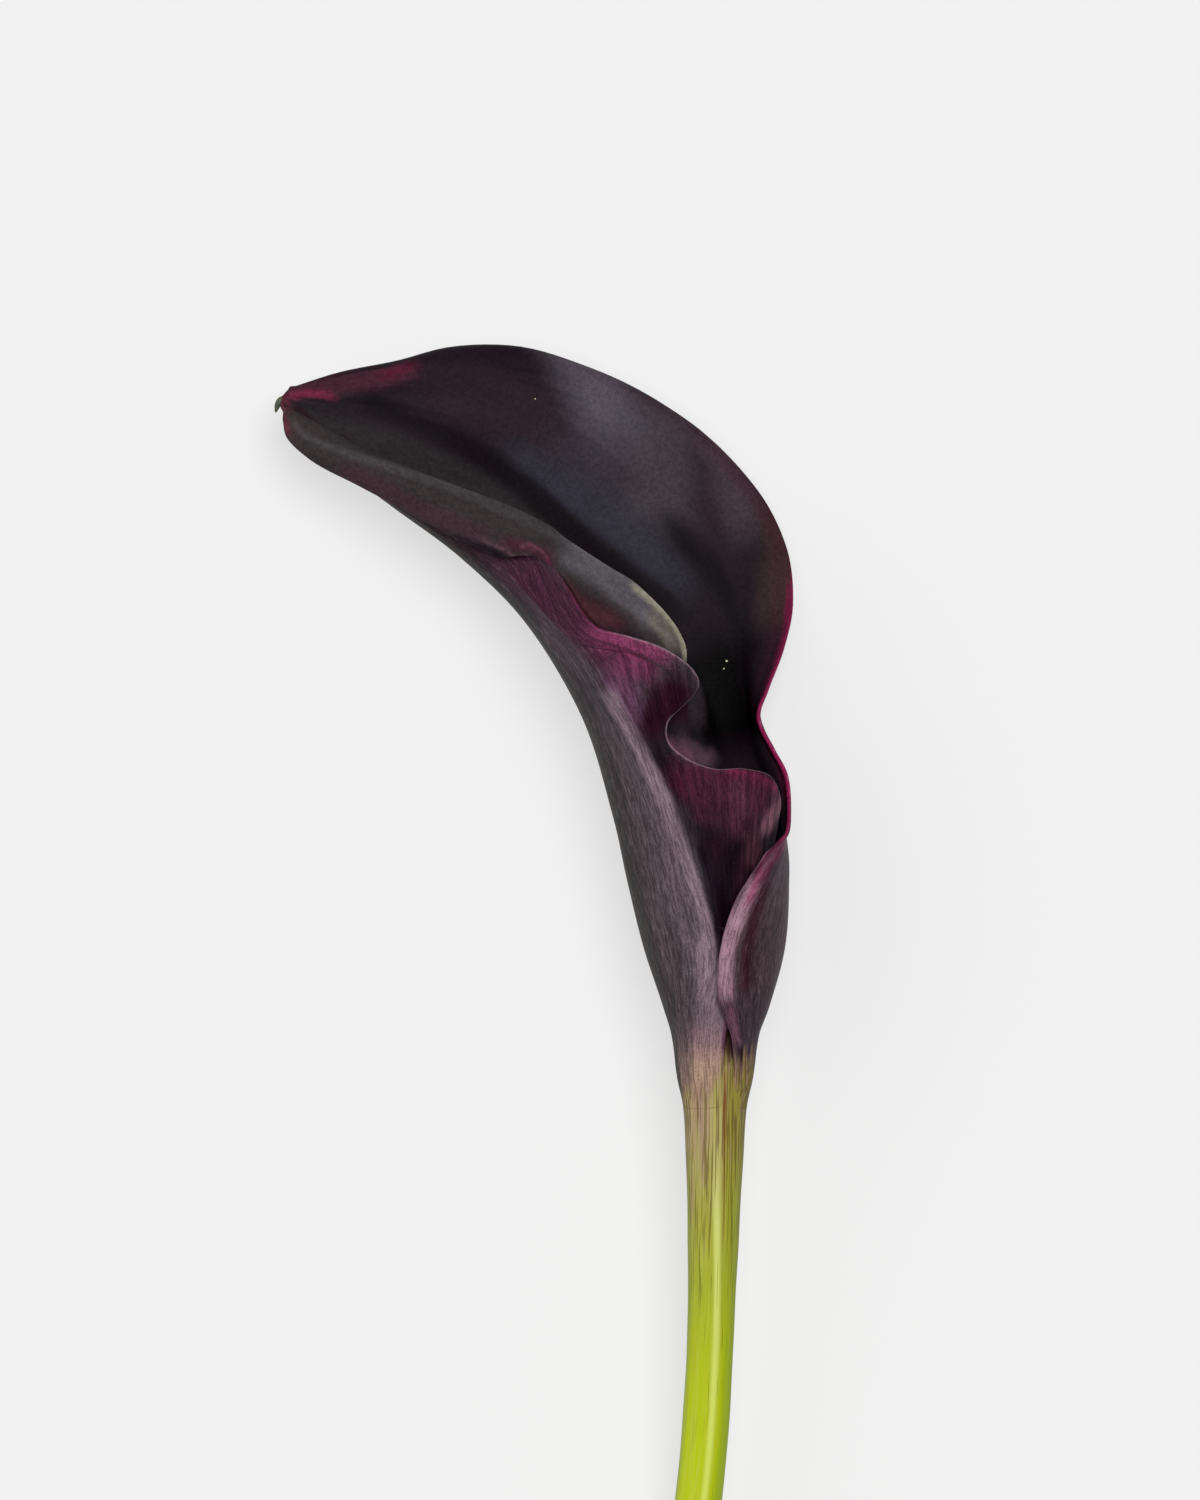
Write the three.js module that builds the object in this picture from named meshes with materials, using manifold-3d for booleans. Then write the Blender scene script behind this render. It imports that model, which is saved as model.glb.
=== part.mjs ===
// A cut calla lily lying on its side, in millimetres.
// X runs to the right, Y runs from the stem to the bloom, Z points up from the surface it lies on.
// The drawing frame has its zero on the funnel's axis, a little below the foot of the spathe.
import * as THREE from 'three';
import { mergeVertices } from 'three/addons/utils/BufferGeometryUtils.js';
import Module from 'manifold-3d';

const wasm = await Module();
wasm.setup();

// The drawing frame's zero, seen from the part's own origin, which is under the middle of the part.
const AXIS_PLACE = new THREE.Vector3(28.94, -0.44, 21.75);

// The spathe is one sheet. Its wall is this thick in the middle and at its free margins.
const WALL_THICK = 1.1;
const MARGIN_THICK = 0.7;
const MARGIN_TAPER = 0.1;
const TIP_THICK = 0.6;
const TIP_TAPER_FROM = 0.9;

// The sheet is drawn by guide curves that run from its foot to its tip.
// across: the guide's place over the sheet, from the tucked margin (0) to the lapping margin (1).
// Each row of points is [height along the sheet, x, y, z].
const OUTER_GUIDES = {
  tuckedMargin: { across: 0, points: [
    [0, 1.2, 3.6, 6], [0.04, 1.3, 6.4, 6.9], [0.08, 2.2, 9.6, 7.4], [0.12, 4, 13.4, 7.2],
    [0.2, 7.2, 20.8, 5.4], [0.3, 8.9, 31, 5], [0.36, 9.6, 38, 4.5], [0.39, 10.3, 42.6, 5.4],
    [0.41, 10.6, 45.8, 7.2], [0.43, 9, 49.4, 9.6], [0.45, 4.5, 50.6, 11.6],
    [0.47, -0.2, 50.4, 12.8], [0.49, -5, 52, 13], [0.505, -7.8, 54.6, 12.8], [0.52, -8, 57.8, 13],
    [0.54, -5, 60.8, 14], [0.56, -2.8, 63.8, 15.4], [0.58, -4.2, 66.6, 16.6],
    [0.6, -8.6, 69.5, 17.6], [0.62, -13.8, 71.2, 17.4], [0.64, -19, 72.8, 15.8],
    [0.66, -22, 76, 13.8], [0.68, -24.4, 80, 11.8], [0.7, -26.8, 83.2, 9.8],
    [0.72, -30.2, 84.6, 7.9], [0.74, -33.6, 84.4, 6.3], [0.77, -37.6, 86, 4.4],
    [0.81, -44, 89, 1.7], [0.85, -50, 92.3, -0.8], [0.89, -56.8, 96, -3.2],
    [0.94, -64.4, 100.6, -5], [0.97, -68, 103.8, -5.4], [1, -69.3, 106.6, -5.6]] },
  frontLobe: { across: 0.05, points: [
    [0, 0.6, 3.5, 6.1], [0.05, 1.1, 7.5, 7], [0.1, 1.6, 11.6, 8], [0.2, 5.2, 21, 8],
    [0.3, 6.4, 31, 8.4], [0.35, 6.4, 37.5, 9], [0.4, 7.4, 40.5, 9.4], [0.43, 5.8, 43.6, 10.6],
    [0.45, 3, 45.6, 11.4], [0.47, -1, 46.8, 12.2], [0.49, -5.2, 50.6, 12.7],
    [0.505, -8.6, 54.2, 12.9], [0.52, -9.2, 57.8, 13.2], [0.55, -6.4, 62, 14.8],
    [0.58, -7.2, 65.8, 16.4], [0.62, -14.6, 70.3, 17], [0.64, -19.8, 72, 15.3],
    [0.66, -22.9, 75.4, 13.2], [0.68, -25.3, 79.6, 11], [0.7, -27.4, 82.9, 9],
    [0.72, -29.3, 86, 8.6], [0.74, -31.8, 87.6, 7.5], [0.78, -38.4, 90.5, 5.1],
    [0.82, -44.5, 93, 2.7], [0.86, -50.5, 95.6, 0.5], [0.9, -57.3, 98.1, -2.1],
    [0.95, -65.2, 101.6, -4.9], [1, -69.4, 107.2, -6]] },
  frontValley: { across: 0.12, points: [
    [0, -0.4, 3.4, 6.1], [0.05, 0, 7.7, 7.05], [0.1, 0.4, 12, 8.5], [0.2, 2.2, 21.4, 10.4],
    [0.25, 1.2, 27.4, 10.4], [0.3, -0.4, 34, 10.4], [0.35, -1.6, 37.8, 10.6],
    [0.4, -2.8, 40.8, 10.9], [0.43, -2.9, 42.4, 11], [0.45, -3.1, 43.4, 11.2],
    [0.47, -3.9, 45.6, 11.8], [0.49, -6.2, 49.4, 12.5], [0.505, -9.4, 54, 13.2],
    [0.52, -11, 58, 13.8], [0.55, -10, 63.6, 15.2], [0.6, -14.4, 69.2, 15.8],
    [0.62, -17.4, 69.6, 15.3], [0.64, -21.4, 71.3, 13.9], [0.66, -24.4, 74.8, 11.9],
    [0.68, -26.7, 79.2, 9.6], [0.7, -28.4, 83, 7.8], [0.72, -29.9, 87, 7.6],
    [0.75, -32.6, 90.7, 7.5], [0.8, -40.5, 93.9, 4.1], [0.85, -48.4, 97, 1],
    [0.9, -56.3, 99.8, -1.9], [0.95, -62.9, 102.6, -4.6], [1, -69.5, 107.7, -6.3]] },
  frontRidge: { across: 0.19, points: [
    [0, -2, 3.3, 5.8], [0.05, -1.9, 7.8, 6.85], [0.1, -1.8, 12.4, 8.4], [0.15, -0.8, 17.2, 10],
    [0.2, -0.8, 21.6, 11.2], [0.25, -2, 27.6, 12.3], [0.3, -4.2, 34.4, 13],
    [0.35, -5.6, 38.6, 13.4], [0.4, -6.8, 42, 13.6], [0.45, -8, 45.8, 13.8], [0.48, -9.6, 50, 14],
    [0.5, -11.2, 54, 14.2], [0.55, -16, 63, 14.5], [0.6, -20.6, 70.4, 13.8],
    [0.62, -22.4, 70.8, 13.2], [0.64, -24.3, 72.3, 11.9], [0.66, -26.3, 75, 10.3],
    [0.68, -28.2, 79.2, 8.2], [0.7, -29.8, 83.2, 6.6], [0.72, -32.6, 85.4, 4.6],
    [0.75, -36.2, 88.6, 3], [0.8, -43.2, 91.8, 0.8], [0.85, -49.8, 95.2, -1.2],
    [0.9, -57.2, 99, -3.6], [0.95, -64, 103, -5.4], [1, -69.6, 108.1, -6.7]] },
  leftFront: { across: 0.27, points: [
    [0, -4.6, 3.2, 4.1], [0.05, -4.95, 7.9, 4.9], [0.1, -5.8, 12.6, 6.2], [0.2, -7.2, 21.8, 8.6],
    [0.3, -9.4, 32.2, 9.6], [0.4, -12, 42.6, 9.8], [0.45, -13.8, 49, 9.8], [0.5, -16.6, 57, 9.8],
    [0.55, -20.8, 65.2, 9.2], [0.6, -25.8, 72.4, 8.2], [0.7, -35.8, 84, 3.4],
    [0.75, -40.8, 87.6, 1.2], [0.8, -46.8, 91, -0.4], [0.9, -59.2, 98.9, -4.6],
    [0.95, -65.4, 102.8, -5.6], [1, -69.7, 108.5, -7.1]] },
  leftSide: { across: 0.35, points: [
    [0, -6.15, 3.2, 0], [0.05, -6.95, 8, 0], [0.1, -8.4, 12.8, 0], [0.2, -11.4, 22, 0],
    [0.3, -14, 32.5, 0], [0.4, -16.4, 43.2, 0.3], [0.5, -21.2, 58.6, 0.3], [0.6, -30, 73.5, -1],
    [0.7, -40.3, 84, -3], [0.8, -51.2, 92.2, -5], [0.9, -61.6, 99.8, -6.8],
    [0.95, -66.8, 103.4, -7.4], [1, -69.8, 109, -7.5]] },
  leftBack: { across: 0.44, points: [
    [0, -4.4, 3.2, -4.4], [0.05, -5, 8, -5.05], [0.1, -6.1, 12.8, -6.2], [0.2, -8.4, 22.3, -7.8],
    [0.3, -10.4, 32.8, -8.6], [0.4, -13, 45.5, -9], [0.5, -17.5, 59.5, -9.8], [0.6, -25, 73, -11],
    [0.7, -34.5, 83.5, -11.6], [0.8, -45.5, 91.8, -11], [0.9, -58, 100, -10.2],
    [0.95, -64.2, 104.2, -9.6], [1, -69.8, 109.6, -8.4]] },
  midrib: { across: 0.54, points: [
    [0, 0, 3.2, -6.2], [0.05, 0, 8, -7.1], [0.1, 0, 12.8, -8.7], [0.2, -0.5, 22.5, -11],
    [0.3, -1, 33.5, -12.4], [0.4, -2.5, 45.5, -13.4], [0.5, -5.8, 59, -14.8],
    [0.6, -11.5, 72.5, -16], [0.7, -19.5, 84.5, -16], [0.8, -30.5, 95, -14], [0.9, -45.5, 104, -11],
    [0.95, -56.5, 107.6, -10.2], [1, -69.5, 110.3, -8.8]] },
  rightBack: { across: 0.66, points: [
    [0, 4.2, 3.2, -4.6], [0.05, 4.95, 7.9, -5.2], [0.1, 6.2, 12.5, -6.3], [0.2, 7.6, 22, -8.4],
    [0.3, 7.2, 32.5, -9.6], [0.4, 5.5, 44, -11.6], [0.5, 1.5, 56.5, -14], [0.6, -3.5, 70.5, -16.8],
    [0.7, -8.5, 84, -18], [0.8, -18.5, 96.8, -17.2], [0.9, -36, 107.5, -14],
    [0.95, -50, 110.6, -11], [1, -69, 110.9, -8.9]] },
  rightSide: { across: 0.78, points: [
    [0, 6.2, 3.2, -0.4], [0.05, 7, 8, -0.45], [0.1, 8.6, 12.4, -0.5], [0.2, 11.2, 21.8, -0.5],
    [0.3, 11.8, 31.5, -1.5], [0.35, 11.6, 36.5, -4], [0.4, 10.4, 42.5, -7], [0.5, 6.5, 54.5, -12],
    [0.6, 2.6, 68.5, -16.8], [0.7, -0.5, 83, -19.3], [0.8, -9, 96, -19.4], [0.9, -29, 110, -16.8],
    [0.95, -46, 112.8, -13], [1, -68.4, 111.4, -9.1]] },
  farWall: { across: 0.88, points: [
    [0, 5.8, 3.2, 2.2], [0.05, 6.3, 7.7, 3.5], [0.1, 7.4, 12, 5.2], [0.2, 8.2, 21.2, 8.4],
    [0.3, 10.2, 31, 7], [0.36, 11.3, 37, 4], [0.4, 11.4, 41, -0.5], [0.45, 10.6, 47.5, -5],
    [0.5, 8.3, 53.5, -9], [0.55, 6.5, 60, -13], [0.6, 5.8, 67, -16], [0.7, 7, 80, -20],
    [0.8, 1, 93.5, -20], [0.85, -8, 103, -19.6], [0.9, -23, 112.6, -18.8],
    [0.95, -43, 114.9, -15.2], [0.98, -57.4, 113.6, -12.2], [1, -67.7, 111.9, -9.3]] },
  farCrest: { across: 0.95, points: [
    [0, 4.9, 3.3, 3.7], [0.04, 4.6, 6.6, 5.6], [0.08, 3.8, 10, 7.8], [0.12, 3.2, 13.5, 9.6],
    [0.16, 3.2, 17.2, 11.2], [0.2, 3.7, 21, 12.4], [0.24, 4.7, 25, 13.1], [0.28, 6, 28.6, 12.9],
    [0.32, 7.8, 32, 12], [0.35, 9.4, 35, 10], [0.38, 10.8, 37.8, 7], [0.41, 11.7, 40.6, 3.2],
    [0.44, 12, 44.2, -0.8], [0.48, 11.2, 49.8, -4.5], [0.52, 9.1, 54.4, -8], [0.56, 7.3, 59.5, -11],
    [0.6, 8, 64.6, -14], [0.65, 10.2, 71.5, -17.6], [0.7, 11.2, 78.5, -20.2],
    [0.75, 10.2, 87, -21.3], [0.8, 5.8, 95.2, -20.8], [0.85, -4.6, 105.8, -20],
    [0.9, -20.7, 114.6, -19.8], [0.93, -33, 118, -18.8], [0.95, -42.5, 117.8, -17.6],
    [0.97, -51.5, 115.4, -15], [0.985, -59.5, 113.8, -12.4], [1, -67, 112.3, -9.6]] },
  lappingMargin: { across: 1, points: [
    [0, 4.2, 3.4, 4.6], [0.04, 3.3, 6.4, 6.6], [0.08, 1.9, 10, 8.8], [0.12, 0.7, 13.2, 10.7],
    [0.16, 0.3, 17, 12.2], [0.2, 0.7, 21, 13.2], [0.24, 1.6, 25.2, 14], [0.28, 3, 29, 14.2],
    [0.32, 5, 32.4, 14], [0.35, 7.2, 35.4, 13], [0.37, 8.6, 37.4, 11.8], [0.39, 10.6, 38.9, 9],
    [0.41, 11.8, 40.2, 6], [0.44, 12.2, 44, 2], [0.48, 11.8, 49.5, -2], [0.52, 9.7, 53.7, -5],
    [0.56, 7.4, 58.6, -8], [0.6, 8.75, 63, -11.5], [0.65, 11.4, 70, -16], [0.7, 12.8, 77.5, -19.6],
    [0.75, 11.6, 86.5, -21.3], [0.8, 6.6, 95.4, -21.4], [0.85, -4, 105.2, -21.2],
    [0.9, -20, 113.6, -21.2], [0.93, -32.5, 117, -21.3], [0.95, -42, 116.8, -20],
    [0.97, -51.5, 114.9, -16.8], [0.985, -59.3, 113.3, -13.6], [1, -66.4, 112.1, -10.2]] },
};

// Above the throat the inner face leaves the outer one: it forms the rolled lip and the fold behind the lobe.
const INNER_GUIDES = {
  lipMargin: { across: 0, points: [
    [0.42, 9.8, 47.8, 7.6], [0.43, 8.6, 49.3, 9], [0.45, 4.4, 50.9, 10.9], [0.47, -0.2, 50.9, 12.2],
    [0.49, -4.6, 52.6, 12.6], [0.505, -7.2, 54.9, 12.3], [0.52, -7.4, 57.8, 12.5],
    [0.54, -4.5, 61.1, 13.5], [0.56, -2.5, 64.1, 14.8], [0.58, -4, 67.1, 16.1],
    [0.6, -8.4, 70.1, 17.2], [0.62, -13.5, 71.9, 17], [0.64, -18.5, 73.3, 15.6],
    [0.66, -21.4, 76.3, 13.9], [0.68, -23.8, 80.2, 12.2], [0.7, -26.4, 83.4, 10.4],
    [0.72, -30.1, 84.6, 8.6], [0.74, -33.7, 84.2, 7], [0.77, -37.8, 85.8, 5.1],
    [0.81, -44.2, 88.8, 2.4], [0.85, -50.2, 92.1, -0.1], [0.89, -57, 95.7, -2.5],
    [0.94, -64.6, 100.3, -4.4], [0.97, -68.2, 103.6, -4.8], [1, -69.3, 106.5, -5]] },
  lip: { across: 0.05, points: [
    [0.42, 6, 43.4, 9.4], [0.45, 3, 46.4, 10], [0.47, -1, 49, 10.8], [0.49, -5, 54, 11.2],
    [0.505, -6.8, 57, 11.4], [0.52, -6.6, 59, 11.6], [0.54, -5.4, 61.6, 12.2],
    [0.56, -4.4, 64.2, 13.2], [0.58, -6, 67, 13.8], [0.6, -10.2, 69.8, 14.2],
    [0.64, -17.6, 73, 12.8], [0.66, -20.6, 76.2, 12.2], [0.68, -23, 80.2, 11.4],
    [0.7, -25.8, 84, 10.6], [0.72, -28.8, 86.3, 9.7], [0.74, -32, 87.6, 8.5],
    [0.78, -38.6, 90.4, 6.1], [0.82, -44.7, 93, 3.8], [0.86, -50.7, 95.6, 1.6],
    [0.9, -57.5, 98, -1.1], [0.95, -65.5, 101.8, -4], [1, -69.1, 107.3, -4.9]] },
  strip: { across: 0.09, points: [
    [0.42, 2, 43.6, 9.6], [0.45, -0.5, 46.5, 9.8], [0.47, -3.2, 51.2, 10.2], [0.49, -4, 57, 10.6],
    [0.505, -4.4, 61.8, 10.8], [0.52, -5, 63.6, 11], [0.55, -5.2, 67.6, 11.8],
    [0.6, -10.6, 74.4, 13.2], [0.65, -18, 79, 13], [0.7, -24.6, 86, 11.6], [0.75, -32.4, 90.2, 8.9],
    [0.8, -40.3, 93.3, 5.7], [0.85, -48.4, 96.3, 2.7], [0.9, -57.1, 99.2, -0.5],
    [0.95, -64.2, 102.4, -3.5], [1, -68.9, 108, -4.9]] },
  crest: { across: 0.14, points: [
    [0.42, -4.4, 44, 10], [0.45, -4.6, 47, 10], [0.47, -6, 53.4, 10], [0.49, -6.4, 60.5, 9.8],
    [0.505, -5.4, 66, 10.4], [0.52, -4, 69, 11.8], [0.55, -5, 73, 13.4], [0.6, -11, 79.3, 14.8],
    [0.65, -17.5, 83.6, 14.4], [0.7, -24.2, 88.1, 12.7], [0.75, -32, 92.2, 10],
    [0.8, -40, 95.3, 6.6], [0.85, -48, 98.2, 3.2], [0.9, -56, 100.8, 0], [0.95, -62.2, 102.9, -3],
    [0.98, -65.8, 106, -4.6], [1, -68.6, 108.8, -5.2]] },
  behindCrest: { across: 0.2, points: [
    [0.42, -7.8, 44, 12], [0.45, -8.4, 47.5, 12.2], [0.47, -9, 53, 11.4], [0.49, -9, 60, 10.2],
    [0.505, -9, 65.4, 9.4], [0.52, -9.6, 68, 9.2], [0.55, -11, 72, 8.8], [0.6, -15.4, 77.4, 9],
    [0.65, -21.4, 81.4, 8.2], [0.7, -28, 86.6, 6.2], [0.75, -35, 91.2, 3.7],
    [0.8, -41.7, 94.8, 1.2], [0.85, -48.4, 98.2, -1.2], [0.9, -55.6, 101.6, -4],
    [0.95, -61.8, 105, -5.8], [1, -68.3, 108.6, -6.1]] },
};
const INNER_GUIDES_END = 0.28;
const INNER_GUIDES_FROM = 0.44;
const INNER_GUIDES_FULL = 0.49;

// The sheet's mesh.
const CELLS_ACROSS = 44;
const CELLS_ALONG = 58;
const SLOPE_STEP = 0.004;

// The small green point at the tip.
const CUSP_PATH = [[-68.2, 110, -7.4], [-69.3, 109.9, -7.6], [-70, 109, -7.8], [-70.4, 107.9, -8]];
const CUSP_RADII = [0.9, 0.8, 0.55, 0.12];
const CUSP_SIDES = 10;

// The stem: its middle line as [y, x, z], and its radius as [y, radius].
const STEM_CUT = -117;
const STEM_PATH = [
  [-117, -11.6, -17.4], [-100, -7.9, -14], [-80, -4.4, -10], [-60, -1.9, -6.4], [-45, -0.9, -4.2],
  [-30, -0.4, -2.4], [-15, -0.1, -1], [0, 0, 0], [10, 0, 0]];
const STEM_RADII = [
  [-117, 4.1], [-100, 4], [-60, 3.82], [-35, 3.88], [-26, 4.1], [-18, 4.35], [-11, 4.7], [-5, 5.05],
  [-1.6, 5.4], [0.8, 5.85], [2.9, 6.0]];
const SHOULDER_Y = 2.9;
const RECEPTACLE_RADII = [[2.9, 4.6], [6, 4.65], [8.6, 4.3], [9.7, 3.3]];
const STRAIGHT_FROM_Y = -2;
const STEM_SLOPE_STEP = 0.5;
const STEM_SIDES = 28;
const STEM_RINGS = 30;
const RING_CROWDING = 1.4;

// The spadix: a finger covered with rows of small florets.
const SPADIX_FOOT_Y = 10.0;
const SPADIX_TOP_Y = 47;
const SPADIX_RADIUS = 3.1;
const SPADIX_NARROWING = 0.75;
const SPADIX_DOME = 0.1;
const SPADIX_BLUNT = 0.1;
const FLORET_RELIEF = 0.28;
const FLORETS_ROUND = 9;
const FLORET_ROWS = 22;
const SPADIX_SIDES = 30;
const SPADIX_RINGS = 56;

// A smooth curve through points at uneven knots: each slope is the mean of its neighbours' slopes.
function curveThrough(knots, points, at) {
  const last = knots.length - 1;
  let k = 0;
  while (k < last - 1 && at > knots[k + 1]) k += 1;
  const span = knots[k + 1] - knots[k];
  const s = (at - knots[k]) / span;
  return points[0].map((_, axis) => {
    const slope = (i) => (points[i + 1][axis] - points[i][axis]) / (knots[i + 1] - knots[i]);
    const tangent = (i) => {
      if (i === 0) return slope(0);
      if (i === last) return slope(last - 1);
      const before = knots[i] - knots[i - 1];
      const after = knots[i + 1] - knots[i];
      return (slope(i - 1) * after + slope(i) * before) / (before + after);
    };
    const from = points[k][axis];
    const to = points[k + 1][axis];
    return (2 * s ** 3 - 3 * s ** 2 + 1) * from + (s ** 3 - 2 * s ** 2 + s) * span * tangent(k)
      + (3 * s ** 2 - 2 * s ** 3) * to + (s ** 3 - s ** 2) * span * tangent(k + 1);
  });
}

const alongTable = (rows, at) => curveThrough(rows.map((row) => row[0]), rows.map((row) => row.slice(1)), at);
const alongGuide = (guide, v) => alongTable(guide.points, v);
const ease = (from, to, x) => THREE.MathUtils.smoothstep(x, from, to);
const mix = THREE.MathUtils.lerp;

const outerGuides = Object.values(OUTER_GUIDES);
const innerGuides = Object.values(INNER_GUIDES);
const outerKnots = outerGuides.map((guide) => guide.across);

function outerPoint(u, v) {
  return new THREE.Vector3(...curveThrough(outerKnots, outerGuides.map((guide) => alongGuide(guide, v)), u));
}

// The direction out of the sheet.
function outward(u, v) {
  const step = SLOPE_STEP;
  const across = outerPoint(Math.min(u + step, 1), v).sub(outerPoint(Math.max(u - step, 0), v));
  const along = outerPoint(u, Math.min(v + step, 1)).sub(outerPoint(u, Math.max(v - step, 0)));
  return along.cross(across).normalize();
}

function wallThickness(u, v) {
  const wall = mix(MARGIN_THICK, WALL_THICK, ease(0, MARGIN_TAPER, Math.min(u, 1 - u)));
  return mix(wall, TIP_THICK, ease(TIP_TAPER_FROM, 1, v));
}

function offsetPoint(u, v) {
  return outerPoint(u, v).addScaledVector(outward(u, v), -wallThickness(u, v));
}

function innerPoint(u, v) {
  const plain = offsetPoint(u, v);
  if (u > INNER_GUIDES_END || v < INNER_GUIDES_FROM) return plain;
  const knots = [...innerGuides.map((guide) => guide.across), INNER_GUIDES_END];
  const points = [
    ...innerGuides.map((guide) => alongGuide(guide, v)),
    offsetPoint(INNER_GUIDES_END, v).toArray(),
  ];
  const folded = new THREE.Vector3(...curveThrough(knots, points, u));
  return plain.lerp(folded, ease(INNER_GUIDES_FROM, INNER_GUIDES_FULL, v));
}

// A closed sheet from two faces of the same grid, joined round their rim.
function sheetGeometry(columns, rows, outer, inner) {
  const positions = [];
  const faces = [];
  const place = (side, i, j) => (side * (columns + 1) + i) * (rows + 1) + j;
  for (const face of [outer, inner]) {
    for (let i = 0; i <= columns; i += 1) {
      for (let j = 0; j <= rows; j += 1) positions.push(...face(i / columns, j / rows).toArray());
    }
  }
  const quad = (a, b, c, d) => faces.push(a, b, c, a, c, d);
  for (let i = 0; i < columns; i += 1) {
    for (let j = 0; j < rows; j += 1) {
      quad(place(0, i, j), place(0, i, j + 1), place(0, i + 1, j + 1), place(0, i + 1, j));
      faces.push(place(1, i, j), place(1, i + 1, j + 1), place(1, i, j + 1));
      faces.push(place(1, i, j), place(1, i + 1, j), place(1, i + 1, j + 1));
    }
  }
  for (let i = 0; i < columns; i += 1) {
    quad(place(0, i, 0), place(0, i + 1, 0), place(1, i + 1, 0), place(1, i, 0));
    quad(place(0, i + 1, rows), place(0, i, rows), place(1, i, rows), place(1, i + 1, rows));
  }
  for (let j = 0; j < rows; j += 1) {
    quad(place(0, 0, j + 1), place(0, 0, j), place(1, 0, j), place(1, 0, j + 1));
    quad(place(0, columns, j), place(0, columns, j + 1), place(1, columns, j + 1), place(1, columns, j));
  }
  const geometry = new THREE.BufferGeometry();
  geometry.setAttribute('position', new THREE.Float32BufferAttribute(positions, 3));
  geometry.setIndex(faces);
  return geometry;
}

// A closed solid through rings of points, with its two ends closed by fans.
function ringGeometry(rings) {
  const sides = rings[0].length;
  const middle = (ring) => ring.reduce((sum, p) => sum.add(p), new THREE.Vector3()).divideScalar(sides);
  const positions = [...rings.flat(), middle(rings[0]), middle(rings[rings.length - 1])];
  const faces = [];
  const first = rings.length * sides;
  for (let s = 0; s < sides; s += 1) {
    const next = (s + 1) % sides;
    for (let r = 0; r < rings.length - 1; r += 1) {
      const [a, b] = [r * sides + s, r * sides + next];
      faces.push(a, b, b + sides, a, b + sides, a + sides);
    }
    faces.push(first, next, s);
    const end = (rings.length - 1) * sides;
    faces.push(first + 1, end + s, end + next);
  }
  const geometry = new THREE.BufferGeometry().setFromPoints(positions);
  geometry.setIndex(faces);
  return geometry;
}

// A ring of points round a centre, square to a direction.
function ringAround(centre, direction, radius, sides) {
  const aside = new THREE.Vector3(0, 0, 1).cross(direction).normalize();
  const up = new THREE.Vector3().crossVectors(direction, aside);
  return Array.from({ length: sides }, (_, s) => {
    const angle = (2 * Math.PI * s) / sides;
    const spoke = aside.clone().multiplyScalar(Math.cos(angle)).addScaledVector(up, Math.sin(angle));
    return centre.clone().addScaledVector(spoke, radius);
  });
}

function asSolid(geometry) {
  const bare = geometry.clone();
  bare.deleteAttribute('normal');
  bare.deleteAttribute('uv');
  const merged = mergeVertices(bare);
  return new wasm.Manifold(new wasm.Mesh({
    numProp: 3,
    vertProperties: merged.attributes.position.array,
    triVerts: new Uint32Array(merged.index.array),
  }));
}

function asGeometry(solid) {
  const mesh = solid.getMesh();
  const geometry = new THREE.BufferGeometry();
  geometry.setAttribute('position', new THREE.Float32BufferAttribute(mesh.vertProperties, 3));
  geometry.setIndex(Array.from(mesh.triVerts));
  return geometry;
}

function cuspGeometry() {
  const points = CUSP_PATH.map((p) => new THREE.Vector3(...p));
  const curve = new THREE.CatmullRomCurve3(points);
  const rings = CUSP_RADII.map((radius, i) => {
    const along = i / (CUSP_RADII.length - 1);
    return ringAround(curve.getPoint(along), curve.getTangent(along), radius, CUSP_SIDES);
  });
  return ringGeometry(rings);
}

function spatheGeometry() {
  const sheet = asSolid(sheetGeometry(CELLS_ACROSS, CELLS_ALONG, outerPoint, innerPoint));
  return asGeometry(sheet.add(asSolid(cuspGeometry())));
}

function stemCentre(y) {
  const [x, z] = alongTable(STEM_PATH, y);
  return new THREE.Vector3(x, y, z);
}

function stemGeometry() {
  const rings = [];
  const addRing = (y, radius) => {
    const direction = stemCentre(y + STEM_SLOPE_STEP).sub(stemCentre(y - STEM_SLOPE_STEP)).normalize();
    if (y > STRAIGHT_FROM_Y) direction.set(0, 1, 0);
    rings.push(ringAround(stemCentre(y), direction, radius, STEM_SIDES));
  };
  for (let i = 0; i <= STEM_RINGS; i += 1) {
    const share = i / STEM_RINGS;
    const y = mix(SHOULDER_Y, STEM_CUT, (1 - share) ** RING_CROWDING);
    addRing(y, alongTable(STEM_RADII, y)[0]);
  }
  for (const [y, radius] of RECEPTACLE_RADII) addRing(y, radius);
  return ringGeometry(rings);
}

// The florets stand in rows that are set half a floret round from row to row.
function spadixGeometry() {
  const rings = [];
  for (let i = 0; i <= SPADIX_RINGS; i += 1) {
    const share = i / SPADIX_RINGS;
    const y = mix(SPADIX_FOOT_Y, SPADIX_TOP_Y, share);
    const intoDome = Math.max(0, 1 - (1 - share) / SPADIX_DOME);
    const dome = Math.max(SPADIX_BLUNT, Math.sqrt(1 - intoDome ** 2));
    const body = SPADIX_RADIUS * mix(1, SPADIX_NARROWING, share) * dome;
    const row = share * FLORET_ROWS;
    const ring = [];
    for (let s = 0; s < SPADIX_SIDES; s += 1) {
      const angle = (2 * Math.PI * s) / SPADIX_SIDES;
      const bump = Math.cos(angle * FLORETS_ROUND + Math.floor(row) * Math.PI) * Math.sin(Math.PI * row) ** 2;
      const radius = body + FLORET_RELIEF * bump * dome;
      ring.push(new THREE.Vector3(radius * Math.sin(angle), y, radius * Math.cos(angle)));
    }
    rings.push(ring);
  }
  return ringGeometry(rings);
}

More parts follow.
